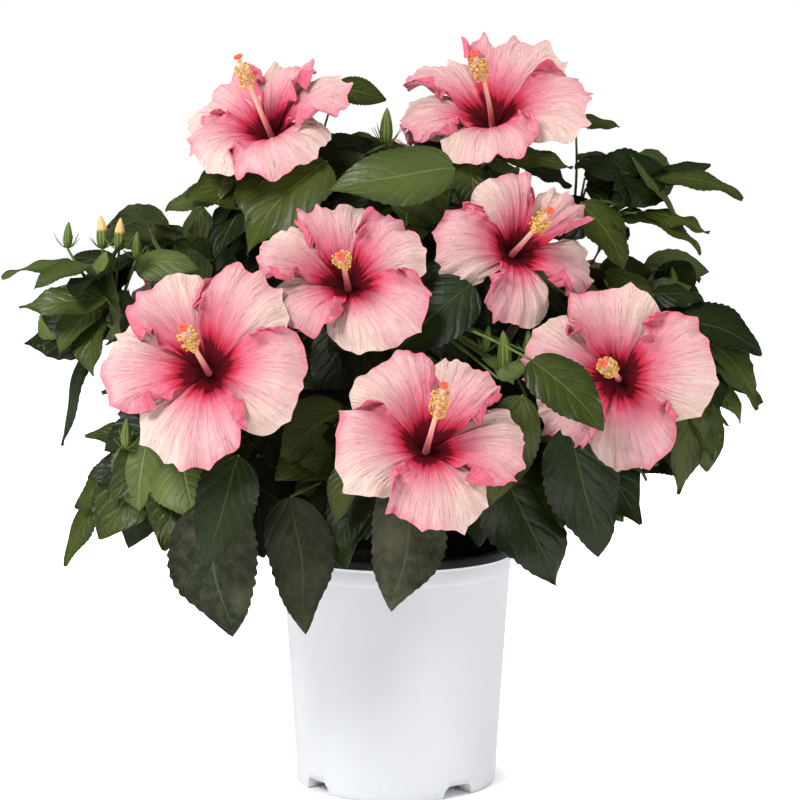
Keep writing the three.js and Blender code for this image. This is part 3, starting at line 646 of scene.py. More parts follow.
def trunk_relief(along, angles):
    """Root ridges at the foot that fade upwards, and the fine unevenness of bark."""
    roots = 0.13 * max(0.0, 1 - along / 0.3) * np.cos(5 * angles + 0.7)
    fine = sum(0.014 * np.sin(k * angles + ridges[k] + along * 9 * (k - 5)) for k in range(3, 12))
    return roots + fine


def bough_relief(knots):
    """The fine unevenness of a bough's bark."""
    def relief(along, angles):
        return sum(0.025 * np.sin(k * angles + knots[k] + along * 14 * (k - 3)) for k in range(1, 8))
    return relief


wood.add(*tube([trunk_line.at(t) for t in steps], trunk_radii, 28, trunk_relief))
for mass in MASSES:
    line = bough_line(mass)
    steps = np.linspace(0, 1, 26)
    wood.add(*tube([line.at(t) for t in steps], BOUGH["foot"] + (BOUGH["tip"] - BOUGH["foot"]) * steps, 12,
                   bough_relief(rng.uniform(0, 6.28, 8))))
branches = wood.piece("trunk_and_boughs", [bark])
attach(branches, "root")
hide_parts("trunk", *("bough_" + mass["name"] for mass in MASSES))


# ---- Stems and twigs ----------------------------------------------------------------------------
# Each mass grows from one stem that goes on from its bough. Twigs leave the stem and end in a leaf,
# and more leaves stand along them on stalks, turned step by step. All of it grows by one small rule.
LEAF = {"bow": 20.0, "slender": 0.62, "turn_step": 137.5, "broader": 1.1, "turned": 38.0, "thick": 0.45}
OPEN = ("left", "upper_right")  # sprays that stand loose, with the sky between their leaves
PASSES = [  # the first grows the solids' leaves, the others the finer shoots between them
    {"lot": 0, "tries": 1, "shell": (0.86, 0.12), "short": 46.0, "long": 76.0, "clear": 8.5, "every": 38.0,
     "slack": 0.0},
    {"lot": 500, "tries": 6, "shell": (0.55, 0.42), "short": 46.0, "long": 76.0, "clear": 5.0,
     "every": 20.0, "slack": 0.2},
    {"lot": 900, "tries": 8, "shell": (0.10, 0.80), "short": 38.0, "long": 68.0, "clear": 4.0,
     "every": 17.0, "slack": 0.3},
]
STEM = {"foot": 2.7, "tip": 1.6}
TWIG = {"foot": 1.35, "tip": 0.8}


def seeded(state):
    """The small seeded generator of the shrub's growth."""
    def draw():
        nonlocal state
        state = (state * 16807) % 2147483647
        return state / 2147483647
    return draw


def direction(bearing, climb):
    b, c = math.radians(bearing), math.radians(climb)
    return np.array([math.cos(c) * math.cos(b), math.cos(c) * math.sin(b), math.sin(c)])


def on_limb(line, along, pieces):
    """The middle of a limb that runs straight from ring to ring."""
    ring = min(pieces - 1, math.floor(along * pieces))
    low, high = line.at(ring / pieces), line.at((ring + 1) / pieces)
    return low + (high - low) * (along * pieces - ring)


def shoot_to(stem, along, foot):
    """A shoot leaves its stem half along it and half straight to where it goes."""
    start = on_limb(stem, along, 3)
    return bent(start, unit(unit(foot - start) + 0.5 * stem.way(along)), foot)


class Leaf:
    """Where a leaf lies. It bows down towards its tip, and shows its upper face to the outside."""

    def __init__(self, tip, long, wide, heading, kind="green"):
        self.tip, self.long, self.wide, self.kind = tip, long, wide, kind
        half = math.radians(LEAF["bow"]) / 2
        face = 0.75 * UP + unit(np.array([0.35 * tip[0], tip[1] - 30, 0.0]))
        face = unit(face - heading * face.dot(heading))
        self.along = heading * math.cos(half) + face * math.sin(half)
        self.upper = face * math.cos(half) - heading * math.sin(half)
        self.side = np.cross(self.along, self.upper)
        self.foot = tip - heading * long
        self.bend, self.scale = 2 * half, long / 2 / math.sin(half)

    def turn(self, angle):
        """Turns the leaf on its stalk; its tip stays where it is."""
        half = self.bend / 2
        heading = self.along * math.cos(half) - self.upper * math.sin(half)
        face = self.along * math.sin(half) + self.upper * math.cos(half)
        face = face * math.cos(angle) + np.cross(heading, face) * math.sin(angle)
        self.along = heading * math.cos(half) + face * math.sin(half)
        self.upper = face * math.cos(half) - heading * math.sin(half)
        self.side = np.cross(self.along, self.upper)

    def midrib(self, along):
        angle = self.bend * along
        return (self.foot + self.along * self.scale * math.sin(angle) - self.upper * self.scale
                * (1 - math.cos(angle)))

    def spots(self):
        """The points that stand for the leaf when others keep clear of it."""
        middle = [self.midrib(along) for along in (0, 0.25, 0.5, 0.75, 1)]
        edges = [self.midrib(along) + self.side * sideways * self.wide for sideways in (-0.45, 0.45)
                 for along in (0.25, 0.5)]
        return np.array(middle + edges)


def outness(spots, mass):
    """How far out in a mass's space points lie: 0 is its heart and 1 its edge."""
    return np.linalg.norm((spots - np.array(mass["heart"])) / np.array(mass["space"]), axis=1)


def keeps_place(spots, mass, slack=0.0):
    """Whether a leaf keeps to its mass's space, clear of the pot, and leaves the blooms free."""
    own = outness(spots, mass)
    if spots[:, 2].min() < mass.get("low", 0) or spots[:, 2].max() > mass.get("high", 600):
        return False
    if own.max() >= 1.02 or ((np.hypot(spots[:, 0], spots[:, 1]) < 89) & (spots[:, 2] < 182)).any():
        return False
    for other in MASSES:
        if other is not mass and (outness(spots, other) < own - slack).any():
            return False
        for x, y, z, across, bearing, climb, _, _ in other["blooms"]:
            axis = direction(bearing, climb)
            away = spots - np.array([x, y, z])
            ahead = away @ axis
            beside = np.linalg.norm(away - np.outer(ahead, axis), axis=1)
            if ((ahead > -12) & (ahead < 60) & (beside < across / 2 + 4)).any():
                return False
    return True


taken = [np.array([bough_line(mass).at(t) for t in np.linspace(0, 1, 9)]) for mass in MASSES]


def keeps_clear(spots, clear):
    others = np.concatenate(taken)
    return np.linalg.norm(spots[:, None] - others[None], axis=2).min() > clear


def grown_leaves(mass, tries, seed, shell, shortest, longest):
    """Leaves that the rule sets out in a mass's space, in even steps round it."""
    draw = seeded(seed)
    outward = unit(np.array(mass["heart"], dtype=float) - np.array(TRUNK["fork"]))
    leaves = []
    for i in range(tries):
        climb = math.degrees(math.asin(1 - (2 * (i + 0.5)) / tries))
        spread = unit(direction(i * LEAF["turn_step"] + 360 * draw(), climb) + 0.45 * outward)
        offset = spread * np.array(mass["space"]) * (shell[0] + shell[1] * draw())
        heading = unit(offset)
        heading[2] -= 0.35 + 0.5 * draw()
        long = shortest + (longest - shortest) * draw()
        leaves.append(Leaf(np.array(mass["heart"]) + offset, long, long * LEAF["slender"], unit(heading)))
    return leaves


def leaves_along(line, pieces, seed, every, shortest, longest):
    """Leaves on stalks along a twig, turned round it step by step, each with its place on the twig."""
    draw = seeded(seed)
    count = max(1, round(line.length() / every))
    turn = 360 * draw()
    found = []
    for i in range(count):
        along = (i + 0.7) / (count + 0.6)
        way = line.way(along)
        side = unit(np.cross(way, UP))
        over = np.cross(side, way)
        angle = math.radians(turn + i * LEAF["turn_step"])
        heading = side * math.cos(angle) + over * math.sin(angle) + 0.5 * way
        heading[2] -= 0.25 + 0.3 * draw()
        heading = unit(heading)
        long = shortest + (longest - shortest) * draw() * draw()
        spot = on_limb(line, along, pieces)
        found.append((spot, Leaf(spot + heading * long * 1.25, long, long * LEAF["slender"], heading)))
    return found


plants = []
for mass in MASSES:
    stem = stem_line(mass)
    shoots = []
    for i, (x, y, z, long, wide, droop, bearing, kind) in enumerate(mass["leaves"]):
        leaf = Leaf(np.array([x, y, z], dtype=float), long, wide, direction(bearing, -droop), kind)
        shoots.append((shoot_to(stem, 0.35 + 0.6 * i / len(mass["leaves"]), leaf.foot), leaf,
                       mass["seed"] + i))
        taken.append(leaf.spots())
    plants.append({"mass": mass, "stem": stem, "shoots": shoots, "stalks": [], "named": len(shoots)})

for growth in PASSES:
    lot, sizes = growth["lot"], (growth["short"], growth["long"])
    for plant in plants:
        mass, stem = plant["mass"], plant["stem"]
        sparse = lot > 0 and mass["name"] in OPEN
        tries = growth["tries"] * mass["grow"] // (3 if sparse else 1)
        for i, leaf in enumerate(grown_leaves(mass, tries, mass["seed"] + lot, growth["shell"], *sizes)):
            spots = leaf.spots()
            if keeps_place(spots, mass, growth["slack"]) and keeps_clear(spots, growth["clear"]):
                taken.append(spots)
                shoot = shoot_to(stem, 0.3 + 0.65 * i / tries, leaf.foot)
                plant["shoots"].append((shoot, leaf, mass["seed"] + 50 + i + lot))
        lines = [(stem, 3, mass["seed"] + lot)] + [(line, 2, seed + lot) for line, _,
                                                   seed in plant["shoots"]]
        every = growth["every"] * (2.5 if sparse else 1)
        for line, pieces, seed in lines:
            for spot, leaf in leaves_along(line, pieces, seed, every, *sizes):
                spots = leaf.spots()
                if keeps_place(spots, mass, growth["slack"]) and keeps_clear(spots, growth["clear"]):
                    taken.append(spots)
                    plant["stalks"].append((spot, leaf))


def bloom_frame(bloom):
    """The throat of a bloom and its three directions: level, rising and out along its axis."""
    x, y, z, _, bearing, climb, _, _ = bloom
    axis = direction(bearing, climb)
    level = unit(np.cross(UP, axis))
    return np.array([x, y, z], dtype=float), level, np.cross(axis, level), axis


def green_stalk(tree):
    place = own_place(tree)
    cloud = speckle(tree, place, 160.0, 3.0)
    return {"Base Color": mixed(tree, cloud, "39481f", "6d8136"),
            "Normal": bump(tree, speckle(tree, place, 900.0, 3.0), 0.4, 0.2)}


twigs = Heap()
for plant in plants:
    stem = plant["stem"]
    steps = np.linspace(0, 1, 14)
    twigs.add(*tube([stem.at(t) for t in steps], STEM["foot"] + (STEM["tip"] - STEM["foot"]) * steps, 8))
    for line, _, _ in plant["shoots"]:
        steps = np.linspace(0, 1, 10)
        twigs.add(*tube([line.at(t) for t in steps], TWIG["foot"] + (TWIG["tip"] - TWIG["foot"]) * steps,
                        6))
    for spot, leaf in plant["stalks"]:
        stalk = bent(spot, unit(leaf.foot - spot), leaf.foot + leaf.along * 2)
        twigs.add(*tube([stalk.at(t) for t in np.linspace(0, 1, 5)], [1.0, 0.8, 0.75, 0.75, 0.7], 6))
    for bloom in plant["mass"]["blooms"]:
        throat, _, _, axis = bloom_frame(bloom)
        start = on_limb(stem, 0.3, 3)
        stalk = Bend(start, start + stem.way(0.3) * 25, throat - 73 * axis, throat - 30 * axis)
        twigs.add(*tube([stalk.at(t) for t in np.linspace(0, 1, 24)], np.linspace(1.5, 1.25, 24), 8))
    for x, y, z, long in plant["mass"]["buds"]:
        foot = np.array([x, y, z - long / 2])
        stalk = shoot_to(stem, 0.8, foot)
        twigs.add(*tube([stalk.at(t) for t in np.linspace(0, 1, 12)], np.linspace(1.1, 0.9, 12), 6))
FOLIAGE = ["foliage_" + mass["name"] for mass in MASSES]
twig_wood = twigs.piece("twigs_and_stalks", [finish("twig_green", {"Roughness": 0.6}, green_stalk)])
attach(twig_wood, "root")
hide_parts(*FOLIAGE)


# ---- Leaves -------------------------------------------------------------------------------------
# Glossy hibiscus leaves, toothed over their outer two thirds and drawn out to a point. Young ones
# are light, full-grown ones deep green, and the old ones that hang low have bronzed in patches.
TINTS = {  # shade side, lit side, veins, patches
    "deep": ("0a1003", "1d2a09", "3e4b24", "1d230a"),
    "green": ("1d2708", "404a16", "5f6b2b", "3a3f18"),
    "young": ("3a4722", "66743a", "8a9650", "525f2c"),
    "olive": ("262f12", "4b5726", "6c7640", "56572c"),
    "old": ("0b1207", "28341c", "525f3c", "625c48"),
    # Dusky leaves are dark all over, and stand inside and under the crown partly as painted shade.
    "dusky_painted_shade": ("0a0f06", "222a14", "414a2b", "403b2b"),
}
GLOSS = {"deep": 0.42, "green": 0.38, "young": 0.42, "olive": 0.36, "old": 0.44, "dusky_painted_shade": 0.44}
NAMED_BLADE = (14, 3, 11)  # teeth, rows of points for each, and points across
PLAIN_BLADE = (7, 2, 5)
CROWN = {"heart": (0, -20, 300), "space": (230, 210, 190), "inner": 0.72, "low": 225}
SHARES = {  # the kinds of the rule's leaves, each up to its share
    # Inside the crown the leaves are mostly deep green, partly as painted shade.
    "inside": (("deep", 0.86), ("green", 1.0)),
    "low": (("old", 0.18), ("deep", 0.62), ("green", 1.0)),
    "outside": (("deep", 0.4), ("green", 0.76), ("olive", 0.9), ("young", 1.0)),
}


def sheet_faces(rows, columns):
    """Faces of a thin closed sheet: its upper grid, its lower grid and its rim. The lower are marked 1."""
    size = rows * columns
    upper = [(i * columns + j, i * columns + j + 1, (i + 1) * columns + j + 1, (i + 1) * columns + j)
             for i in range(rows - 1) for j in range(columns - 1)]
    lower = [tuple(size + corner for corner in reversed(face)) for face in upper]
    edge = [j for j in range(columns)] + [i * columns + columns - 1 for i in range(1, rows)]
    edge += [(rows - 1) * columns + j for j in range(columns - 2, -1, -1)]
    edge += [i * columns for i in range(rows - 2, 0, -1)]
    rim = [(b, a, a + size, b + size) for a, b in zip(edge, edge[1:] + edge[:1])]
    return upper + lower + rim, [0] * len(upper) + [1] * len(lower) + [0] * len(rim)


def facing(grid):
    """The way each point of a grid of points faces."""
    normal = np.cross(np.gradient(grid, axis=1), np.gradient(grid, axis=0))
    return normal / np.maximum(np.linalg.norm(normal, axis=2, keepdims=True), 1e-9)


def two_sided(grid, normal, thick, across, along):
    """Points and UV of a thin sheet: its upper grid, and the same grid its thickness lower."""
    points = np.concatenate([grid.reshape(-1, 3), (grid - thick * normal).reshape(-1, 3)])
    shape = grid.shape[:2]
    uv = np.stack([np.broadcast_to(across, shape), np.broadcast_to(along, shape)], 2).reshape(-1, 2)
    return points, np.concatenate([uv, uv])


def leaf_sheet(leaf, teeth, per_tooth, columns, dice):
    """One leaf blade: folded along its midrib, waved towards its edge, toothed and a little twisted."""
    rows = teeth * per_tooth + 1
    v = np.linspace(0.006, 0.992, rows)[:, None]
    u = np.linspace(-1, 1, columns)[None]
    angle = leaf.bend * v
    spine = leaf.foot + leaf.along * (leaf.scale * np.sin(angle))[..., None][:, 0] \
        - leaf.upper * (leaf.scale * (1 - np.cos(angle)))[..., None][:, 0]
    face = leaf.upper * np.cos(angle) + leaf.along * np.sin(angle)
    half = 1.245 * leaf.wide * np.sqrt(v) * (1 - v) ** 0.9 * (1 - 0.12 * np.clip((v - 0.6) / 0.3, 0, 1))
    step = np.arange(rows) % per_tooth
    bite = np.where(step == 0, 0.045, np.where(step == per_tooth - 1, -0.012, 0.016)) if per_tooth > 2 \
        else np.where(step == 0, 0.035, -0.012)
    depth = bite * np.clip((v[:, 0] - 0.12) / 0.15, 0, 1) * (0.7 + 0.6 * dice.random(rows))
    out = np.sign(u) * np.where(np.abs(u) > 0.99, 1 - depth[:, None], np.abs(u))
    x = out * half
    fold = math.tan(math.radians(dice.uniform(4, 17)))
    wave = leaf.long * dice.uniform(0.012, 0.045)
    turns, phase, other = dice.uniform(1.3, 2.6), dice.uniform(0, 6.28), dice.uniform(0, 6.28)
    lift = np.abs(x) * fold - x ** 2 / leaf.wide * dice.uniform(0.1, 0.75)
    lift = lift + wave * np.abs(u) ** 1.6 * np.sin(2 * math.pi * turns * v
                                                   + np.where(u > 0, phase, other)) * (0.35 + v)
    lift = lift - leaf.long * dice.uniform(0, 0.1) * v ** 4
    sway = leaf.long * dice.uniform(-0.06, 0.06) * np.sin(math.pi * v) ** 2
    twist = math.radians(dice.uniform(-16, 16)) * v
    side = leaf.side * np.cos(twist) + face * np.sin(twist)
    over = face * np.cos(twist) - leaf.side * np.sin(twist)
    grid = spine[:, None] + side[:, None] * (x + sway)[..., None] + over[:, None] * lift[..., None]
    normal = facing(grid)
    if (normal * over[:, None]).sum() < 0:
        normal = -normal
    return two_sided(grid, normal, LEAF["thick"], u * 0.5 + 0.5, v)


def leaf_look(kind, under):
    """The upper or under side of a leaf: midrib and side veins from its own UV, patches from noise."""
    shade, lit, vein, patch = (paint(code) for code in TINTS[kind])
    aged = kind in ("old", "dusky_painted_shade")
    if under:
        pale = paint("59643c" if kind != "old" else "5a5848")
        shade, lit, vein, patch = ([a * 0.55 + b * 0.45 for a, b in zip(tint, pale)]
                                   for tint in (shade, lit, vein, patch))

    def build(tree):
        place = own_place(tree)
        across, along = own_uv(tree, "shape")
        lot = own_uv(tree, "tone")[0]
        out = maths(tree, "ABSOLUTE", scaled(tree, across, 2.0, -1.0))
        rib = falling(tree, out, 0.012, 0.05)
        bent_along = scaled(tree, speckle(tree, place, 60.0), 0.12, along)
        slanted = maths(tree, "SUBTRACT", times(tree, bent_along, 6.0), times(tree, out, 2.4))
        ridge = maths(tree, "PINGPONG", slanted, 0.5)
        side_vein = falling(tree, ridge, 0.005, 0.05)
        veins = maths(tree, "MAXIMUM", rib, times(tree, side_vein, 0.4))
        cloud = speckle(tree, place, 34.0, 3.0)
        fine = speckle(tree, place, 420.0, 3.0)
        blade = mixed(tree, scaled(tree, cloud, 0.7, times(tree, lot, 0.45)), shade, lit)
        spread = between(tree, speckle(tree, place, 40.0, 2.0), 0.40 if aged else 0.58, 0.70)
        blotched = mixed(tree, times(tree, spread, 0.45 if aged else 0.5), blade, patch)
        grain = speckle(tree, place, 170.0, 5.0)
        mottled = mixed(tree, times(tree, between(tree, grain, 0.36, 0.72), 0.3 if aged else 0.35),
                        blotched, patch if aged else lit)
        # Painted shade: the blade darkens to its shade colour towards its edge.
        with_painted_edge_shade = mixed(tree, times(tree, between(tree, out, 0.4, 1.0), 0.5), mottled, shade)
        swell = times(tree, speckle(tree, place, 75.0, 3.0), 1.1)
        quilt = maths(tree, "ADD", times(tree, between(tree, ridge, 0.0, 0.3), 0.45),
                      scaled(tree, grain, 0.7, swell))
        relief = maths(tree, "SUBTRACT", quilt, times(tree, rib, 0.8))
        if under:
            relief = times(tree, relief, -1.0)
        rough = scaled(tree, fine, 0.16, GLOSS[kind] - 0.05 if not under else 0.6)
        return {"Base Color": mixed(tree, times(tree, veins, 0.55), with_painted_edge_shade, vein),
                "Roughness": rough, "Normal": bump(tree, relief, 0.6, 1.1)}

    shine = 0.15 if under else 0.17 if aged else 0.27
    return finish("leaf_" + kind + ("_under" if under else ""), {"Specular IOR Level": shine}, build)


def kind_of(leaf, luck):
    """The kind of a leaf that the rule grew: dark inside the crown, partly as painted shade, old ones low,
    young ones outside.
    """
    inside = np.linalg.norm((leaf.tip - CROWN["heart"]) / CROWN["space"]) < CROWN["inner"]
    place = "inside" if inside else "low" if leaf.tip[2] < CROWN["low"] else "outside"
    return next(kind for kind, up_to in SHARES[place] if luck < up_to)


leaf_heaps = {kind: Heap() for kind in TINTS}
blade_faces = {size: sheet_faces(size[0] * size[1] + 1, size[2]) for size in (NAMED_BLADE, PLAIN_BLADE)}
for number, plant in enumerate(plants):
    dice = np.random.default_rng(900 + number)
    leaves = [leaf for _, leaf, _ in plant["shoots"]] + [leaf for _, leaf in plant["stalks"]]
    for i, leaf in enumerate(leaves):
        size = NAMED_BLADE
        if i >= plant["named"]:
            size = PLAIN_BLADE
            leaf.kind = kind_of(leaf, dice.random())
            leaf.wide *= LEAF["broader"]
            leaf.turn(math.radians(dice.uniform(-LEAF["turned"], LEAF["turned"])))
        points, uv = leaf_sheet(leaf, *size, dice)
        faces, which = blade_faces[size]
        leaf_heaps[leaf.kind].add(points, faces, uv, which, (dice.random(), 0.0))
for kind, heap in leaf_heaps.items():
    leaves = heap.piece("leaves_" + kind, [leaf_look(kind, False), leaf_look(kind, True)])
    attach(leaves, "root")
    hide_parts(*FOLIAGE)


# ---- Petals -------------------------------------------------------------------------------------
# Open blooms of five broad overlapping petals, soft and thin. Each petal is ruffled and hot pink
# along the edge that lies on top and fades to cream at the other, round a dark crimson throat.
PETAL = {"overlap": 7.0, "widen": 3.0, "throat": 13.0, "cup": 11.0, "lift": 4.4, "thick": 0.6, "rows": 42,
         "columns": 59}
WIDEN = {3: 9.0, 5: -6.0}  # of the blooms whose petals stand closer or further apart than the rest

# For each bloom in the order of the masses: its petals, each (angle, reach, lean), counted from
# level and anticlockwise as one looks into the bloom.
PETALS = [
    [(-10, 1.0, 0), (-92, 1.0, 2), (178, 0.98, 0), (125, 1.0, 3), (62, 1.02, 1)],
    [(-172, 1.0, 0), (-88, 1.0, 0), (-4, 1.0, 2), (54, 0.98, 8), (114, 1.04, 3)],
    [(100, 0.98, 2), (11, 1.04, 0), (-80, 1.0, 0), (161, 1.02, 2), (-146, 0.95, 2)],
    [(-41, 0.97, -3), (-140, 0.90, 0), (160, 1.06, 3), (92, 0.90, 7), (31, 1.02, 3)],
    [(142, 1.08, 4), (-172, 0.96, 0), (-85, 0.92, 3), (2, 1.04, 2), (78, 1.16, 8)],
    [(94, 0.98, 2), (36, 1.0, 6), (-26, 1.0, 0), (-106, 1.06, 0), (-177, 1.1, -1)],
    [(106, 1.0, 4), (38, 0.96, 2), (-44, 1.1, 0), (-142, 0.94, 4), (166, 1.02, 12)],
]


def smooth(value, low, high):
    t = np.clip((value - low) / (high - low), 0, 1)
    return t * t * (3 - 2 * t)


def petal_sheet(bloom, angle, spans, widen, reach, lean, dice):
    """One petal as a thin sheet: a funnel at its foot, a broad fan outside, ruffled along one edge."""
    throat, level, rise, axis = bloom_frame(bloom)
    radius, hand = bloom[3] / 2, bloom[7]
    v = (1 - (1 - np.linspace(0, 1, PETAL["rows"])) ** 1.25)[:, None] * 0.965 + 0.035
    s = np.linspace(-1, 1, PETAL["columns"])[None]
    ruffled = s * hand
    half = np.radians(np.where(s > 0, spans[1], spans[0])) + np.radians(widen * smooth(v, 0.16, 0.6))
    phases = dice.uniform(0, 6.28, 12)
    rim = 1 - 0.36 * np.abs(s) ** 3.4 + 0.02 * np.sin(5 * s + phases[0])
    jags = 0 * s
    for place in np.linspace(-0.9, 0.9, 7) + dice.uniform(-0.13, 0.13, 7):
        size = dice.random() ** 1.4
        jags = jags + size * np.maximum(0, 1 - np.abs(s - place) / dice.uniform(0.07, 0.15)) ** 1.3
    rim = rim + jags * 0.13 * (0.8 + 0.4 * ruffled) - 0.01
    out = v * (1 + (rim - 1) * smooth(v, 0.3, 1.0))
    curl = np.clip((ruffled - 0.42) / 0.58, 0, 1)
    crumple = np.sin(13 * v + phases[2]) + 0.8 * np.sin(25 * v + phases[3] + 3 * s)
    turn = np.radians(angle) + s * half
    turn = turn - hand * curl ** 2 * (0.11 + 0.07 * crumple) * smooth(v, 0.25, 0.65)
    turn = turn + 0.03 * np.sin(7 * v + phases[4]) * s ** 2
    height = PETAL["cup"] * np.sin(math.pi * 0.75 * out) - PETAL["throat"] * (1 - np.minimum(out, 1)) ** 3
    height = height + lean * out ** 2 + PETAL["lift"] * np.sin(ruffled * math.pi / 2) * out
    height = height + curl ** 2 * smooth(v, 0.2, 0.7) * (4.5 + 4.2 * crumple)
    edge = v ** 5
    strength = 0.7 + 0.6 * smooth(ruffled, -0.3, 0.8)
    waves = 2.8 * np.sin(6.5 * s + phases[6]) + 2.3 * np.sin(15 * s + phases[7])
    waves = waves + 0.9 * np.sin(34 * s + phases[5]) + 3.2 * (jags - 0.35)
    height = height + edge * strength * waves
    ribs = 1.0 * np.sin(17 * s + 1.5 * np.sin(3 * v) + phases[9])
    ribs = ribs + 0.5 * np.sin(41 * s + phases[10] + 2 * np.sin(5 * v + phases[11]))
    height = height + ribs * smooth(v, 0.18, 0.5) * (1.1 - 0.5 * v)
    height = height - 4.5 * smooth(v, 0.8, 1.0) * (1 - curl)
    spoke = np.cos(turn)[..., None] * level + np.sin(turn)[..., None] * rise
    grid = throat + radius * reach * out[..., None] * spoke + height[..., None] * axis
    normal = facing(grid)
    if (normal @ axis).sum() < 0:
        normal = -normal
    return two_sided(grid, normal, PETAL["thick"], ruffled * 0.5 + 0.5, v)


def petal_silk(tree):
    across, along = own_uv(tree, "shape")
    column_shadow, lot = own_uv(tree, "tone")
    place = own_place(tree)
    ray = node(tree, "ShaderNodeCombineXYZ", {0: times(tree, across, 15.0), 1: times(tree, along, 1.6),
                                              2: times(tree, lot, 40.0)}).outputs[0]
    streak = speckle(tree, ray, 1.0, 3.0)
    fine_ray = node(tree, "ShaderNodeVectorMath", {0: ray, 1: (3.4, 2.4, 1.0)},
                    operation="MULTIPLY").outputs[0]
    fine_streak = speckle(tree, fine_ray, 1.0, 4.0)
    cloud = speckle(tree, place, 60.0, 3.0)
    off = maths(tree, "SUBTRACT", streak, 0.5)
    pink_to = maths(tree, "ADD", across, scaled(tree, off, 0.5, scaled(tree, along, -0.42, 0.3)))
    soft = mixed(tree, between(tree, pink_to, 0.14, 0.58), "dcc2b5", "dca9ac")
    warm = mixed(tree, between(tree, pink_to, 0.56, 1.0), soft, "da8292")
    line = maths(tree, "PINGPONG", scaled(tree, fine_streak, 0.9, times(tree, across, 22.0)), 0.5)
    thin = falling(tree, line, 0.02, 0.12)
    reach_in = times(tree, between(tree, along, 0.2, 0.4), falling(tree, along, 0.82, 1.02))
    veined = mixed(tree, times(tree, times(tree, thin, reach_in), 0.42), warm, "ce7080")
    # Painted shade: darker pink streaks along the fine folds that the bump raises.
    folds = mixed(tree, times(tree, between(tree, fine_streak, 0.5, 0.72), 0.24), veined, "d68a97")
    washed = mixed(tree, times(tree, between(tree, cloud, 0.45, 0.7), 0.25), folds, "e4c4bc")
    crest = times(tree, between(tree, scaled(tree, off, 0.25, across), 0.82, 0.99), 0.7)
    ruffle = mixed(tree, crest, washed, "dc5574")
    margin = times(tree, between(tree, along, 0.9, 1.0), times(tree, between(tree, pink_to, 0.1, 0.7), 0.7))
    wrinkle = node(tree, "ShaderNodeVectorMath", {0: ray, 1: (7.0, 9.0, 1.0)},
                   operation="MULTIPLY").outputs[0]
    crinkled = speckle(tree, wrinkle, 1.0, 4.0)
    # Painted shade: darker, duller pink in the crinkles that the bump raises.
    painted_crinkle_shade = mixed(tree, times(tree, between(tree, crinkled, 0.42, 0.72), 0.22), ruffle, "cc8c90")
    edged = mixed(tree, margin, painted_crinkle_shade, "dc6681")
    inner = maths(tree, "ADD", along, scaled(tree, off, 0.24, scaled(tree, across, -0.12, 0.06)))
    glow = mixed(tree, times(tree, falling(tree, inner, 0.32, 0.70), 0.9), edged, "e8708a")
    halo = mixed(tree, falling(tree, inner, 0.26, 0.42), glow, "d8304e")
    # Painted shadow: a grey-mauve patch near the foot of the upper petals, where the column's shadow falls.
    shadow_across = falling(tree, maths(tree, "ABSOLUTE", maths(tree, "SUBTRACT", across, 0.5)), 0.05, 0.26)
    shadow_along = falling(tree, maths(tree, "ABSOLUTE", maths(tree, "SUBTRACT", along, 0.36)), 0.02, 0.12)
    painted_column_shadow = times(tree, times(tree, shadow_across, shadow_along), times(tree, column_shadow, 0.3))
    with_painted_column_shadow = mixed(tree, painted_column_shadow, halo, "9c6474")
    throat = mixed(tree, falling(tree, inner, 0.205, 0.275), with_painted_column_shadow, "6e0d1c")
    deep = mixed(tree, falling(tree, inner, 0.06, 0.16), throat, "48060f")
    relief = maths(tree, "ADD", times(tree, fine_streak, 1.0), times(tree, crinkled, 0.7))
    crumple = times(tree, speckle(tree, place, 230.0, 3.0), between(tree, across, 0.4, 1.0))
    return {"Base Color": deep, "Normal": bump(tree, maths(tree, "ADD", relief, crumple), 0.9, 2.6)}


silk = finish("petal_silk", {"Roughness": 0.6, "Specular IOR Level": 0.12}, petal_silk)
petal_faces, _ = sheet_faces(PETAL["rows"], PETAL["columns"])
number = 0
for mass in MASSES:
    for bloom in mass["blooms"]:
        dice = np.random.default_rng(40 + number)
        if number < len(PETALS):
            petals = PETALS[number]
        else:
            petals = [(bloom[6] + 72 * k + dice.uniform(-5, 5), dice.uniform(0.95, 1.06),
                       dice.uniform(-1, 5)) for k in range(5)]
        heap = Heap()
        order = sorted(angle % 360 for angle, _, _ in petals)
        for k, (angle, reach, lean) in enumerate(petals):
            rank = order.index(angle % 360)
            back, ahead = (angle - order[rank - 1]) % 360, (order[(rank + 1) % 5] - angle) % 360
            spans = (back / 2 + PETAL["overlap"], ahead / 2 + PETAL["overlap"])
            widen = WIDEN.get(number, PETAL["widen"])
            points, uv = petal_sheet(bloom, angle, spans, widen, reach, lean, dice)
            # The upper petals carry the painted shadow of the column.
            column_shadow = 1.0 if 70 < angle < 130 or (k == 3 and number >= len(PETALS)) else 0.0
            heap.add(points, petal_faces, uv, tone=(column_shadow, dice.random()))
        corolla = heap.piece("bloom_%d" % (number + 1), [silk], crease=80)
        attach(corolla, "root")
        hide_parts("foliage_" + mass["name"])
        number += 1


# ---- Columns, anthers and stigmas ---------------------------------------------------------------
# From the throat of each bloom rises a slender column, pink at its foot. It carries a brush of
# golden anthers on short threads below its tip, which parts into five red stigmas.
COLUMN = {"reach": 0.84, "foot": 2.4, "waist": 1.3, "threads": 110, "thread": 3.4}
COLUMN_TIPS = {0: (-3, 4), 1: (4, 13), 2: (-7, 3), 3: (-7, 11), 4: (-6, -6), 5: (6, 7), 6: (3, -13)}
columns, sleeves, stigmas = Heap(), Heap(), Heap()


def ball(spot, radius, rows=5, sides=8):
    """A small round body."""
    line = [spot + UP * radius * -math.cos(math.pi * (i + 0.35) / (rows - 0.3)) for i in range(rows)]
    return tube(line, [radius * math.sin(math.pi * (i + 0.35) / (rows - 0.3)) for i in range(rows)], sides)


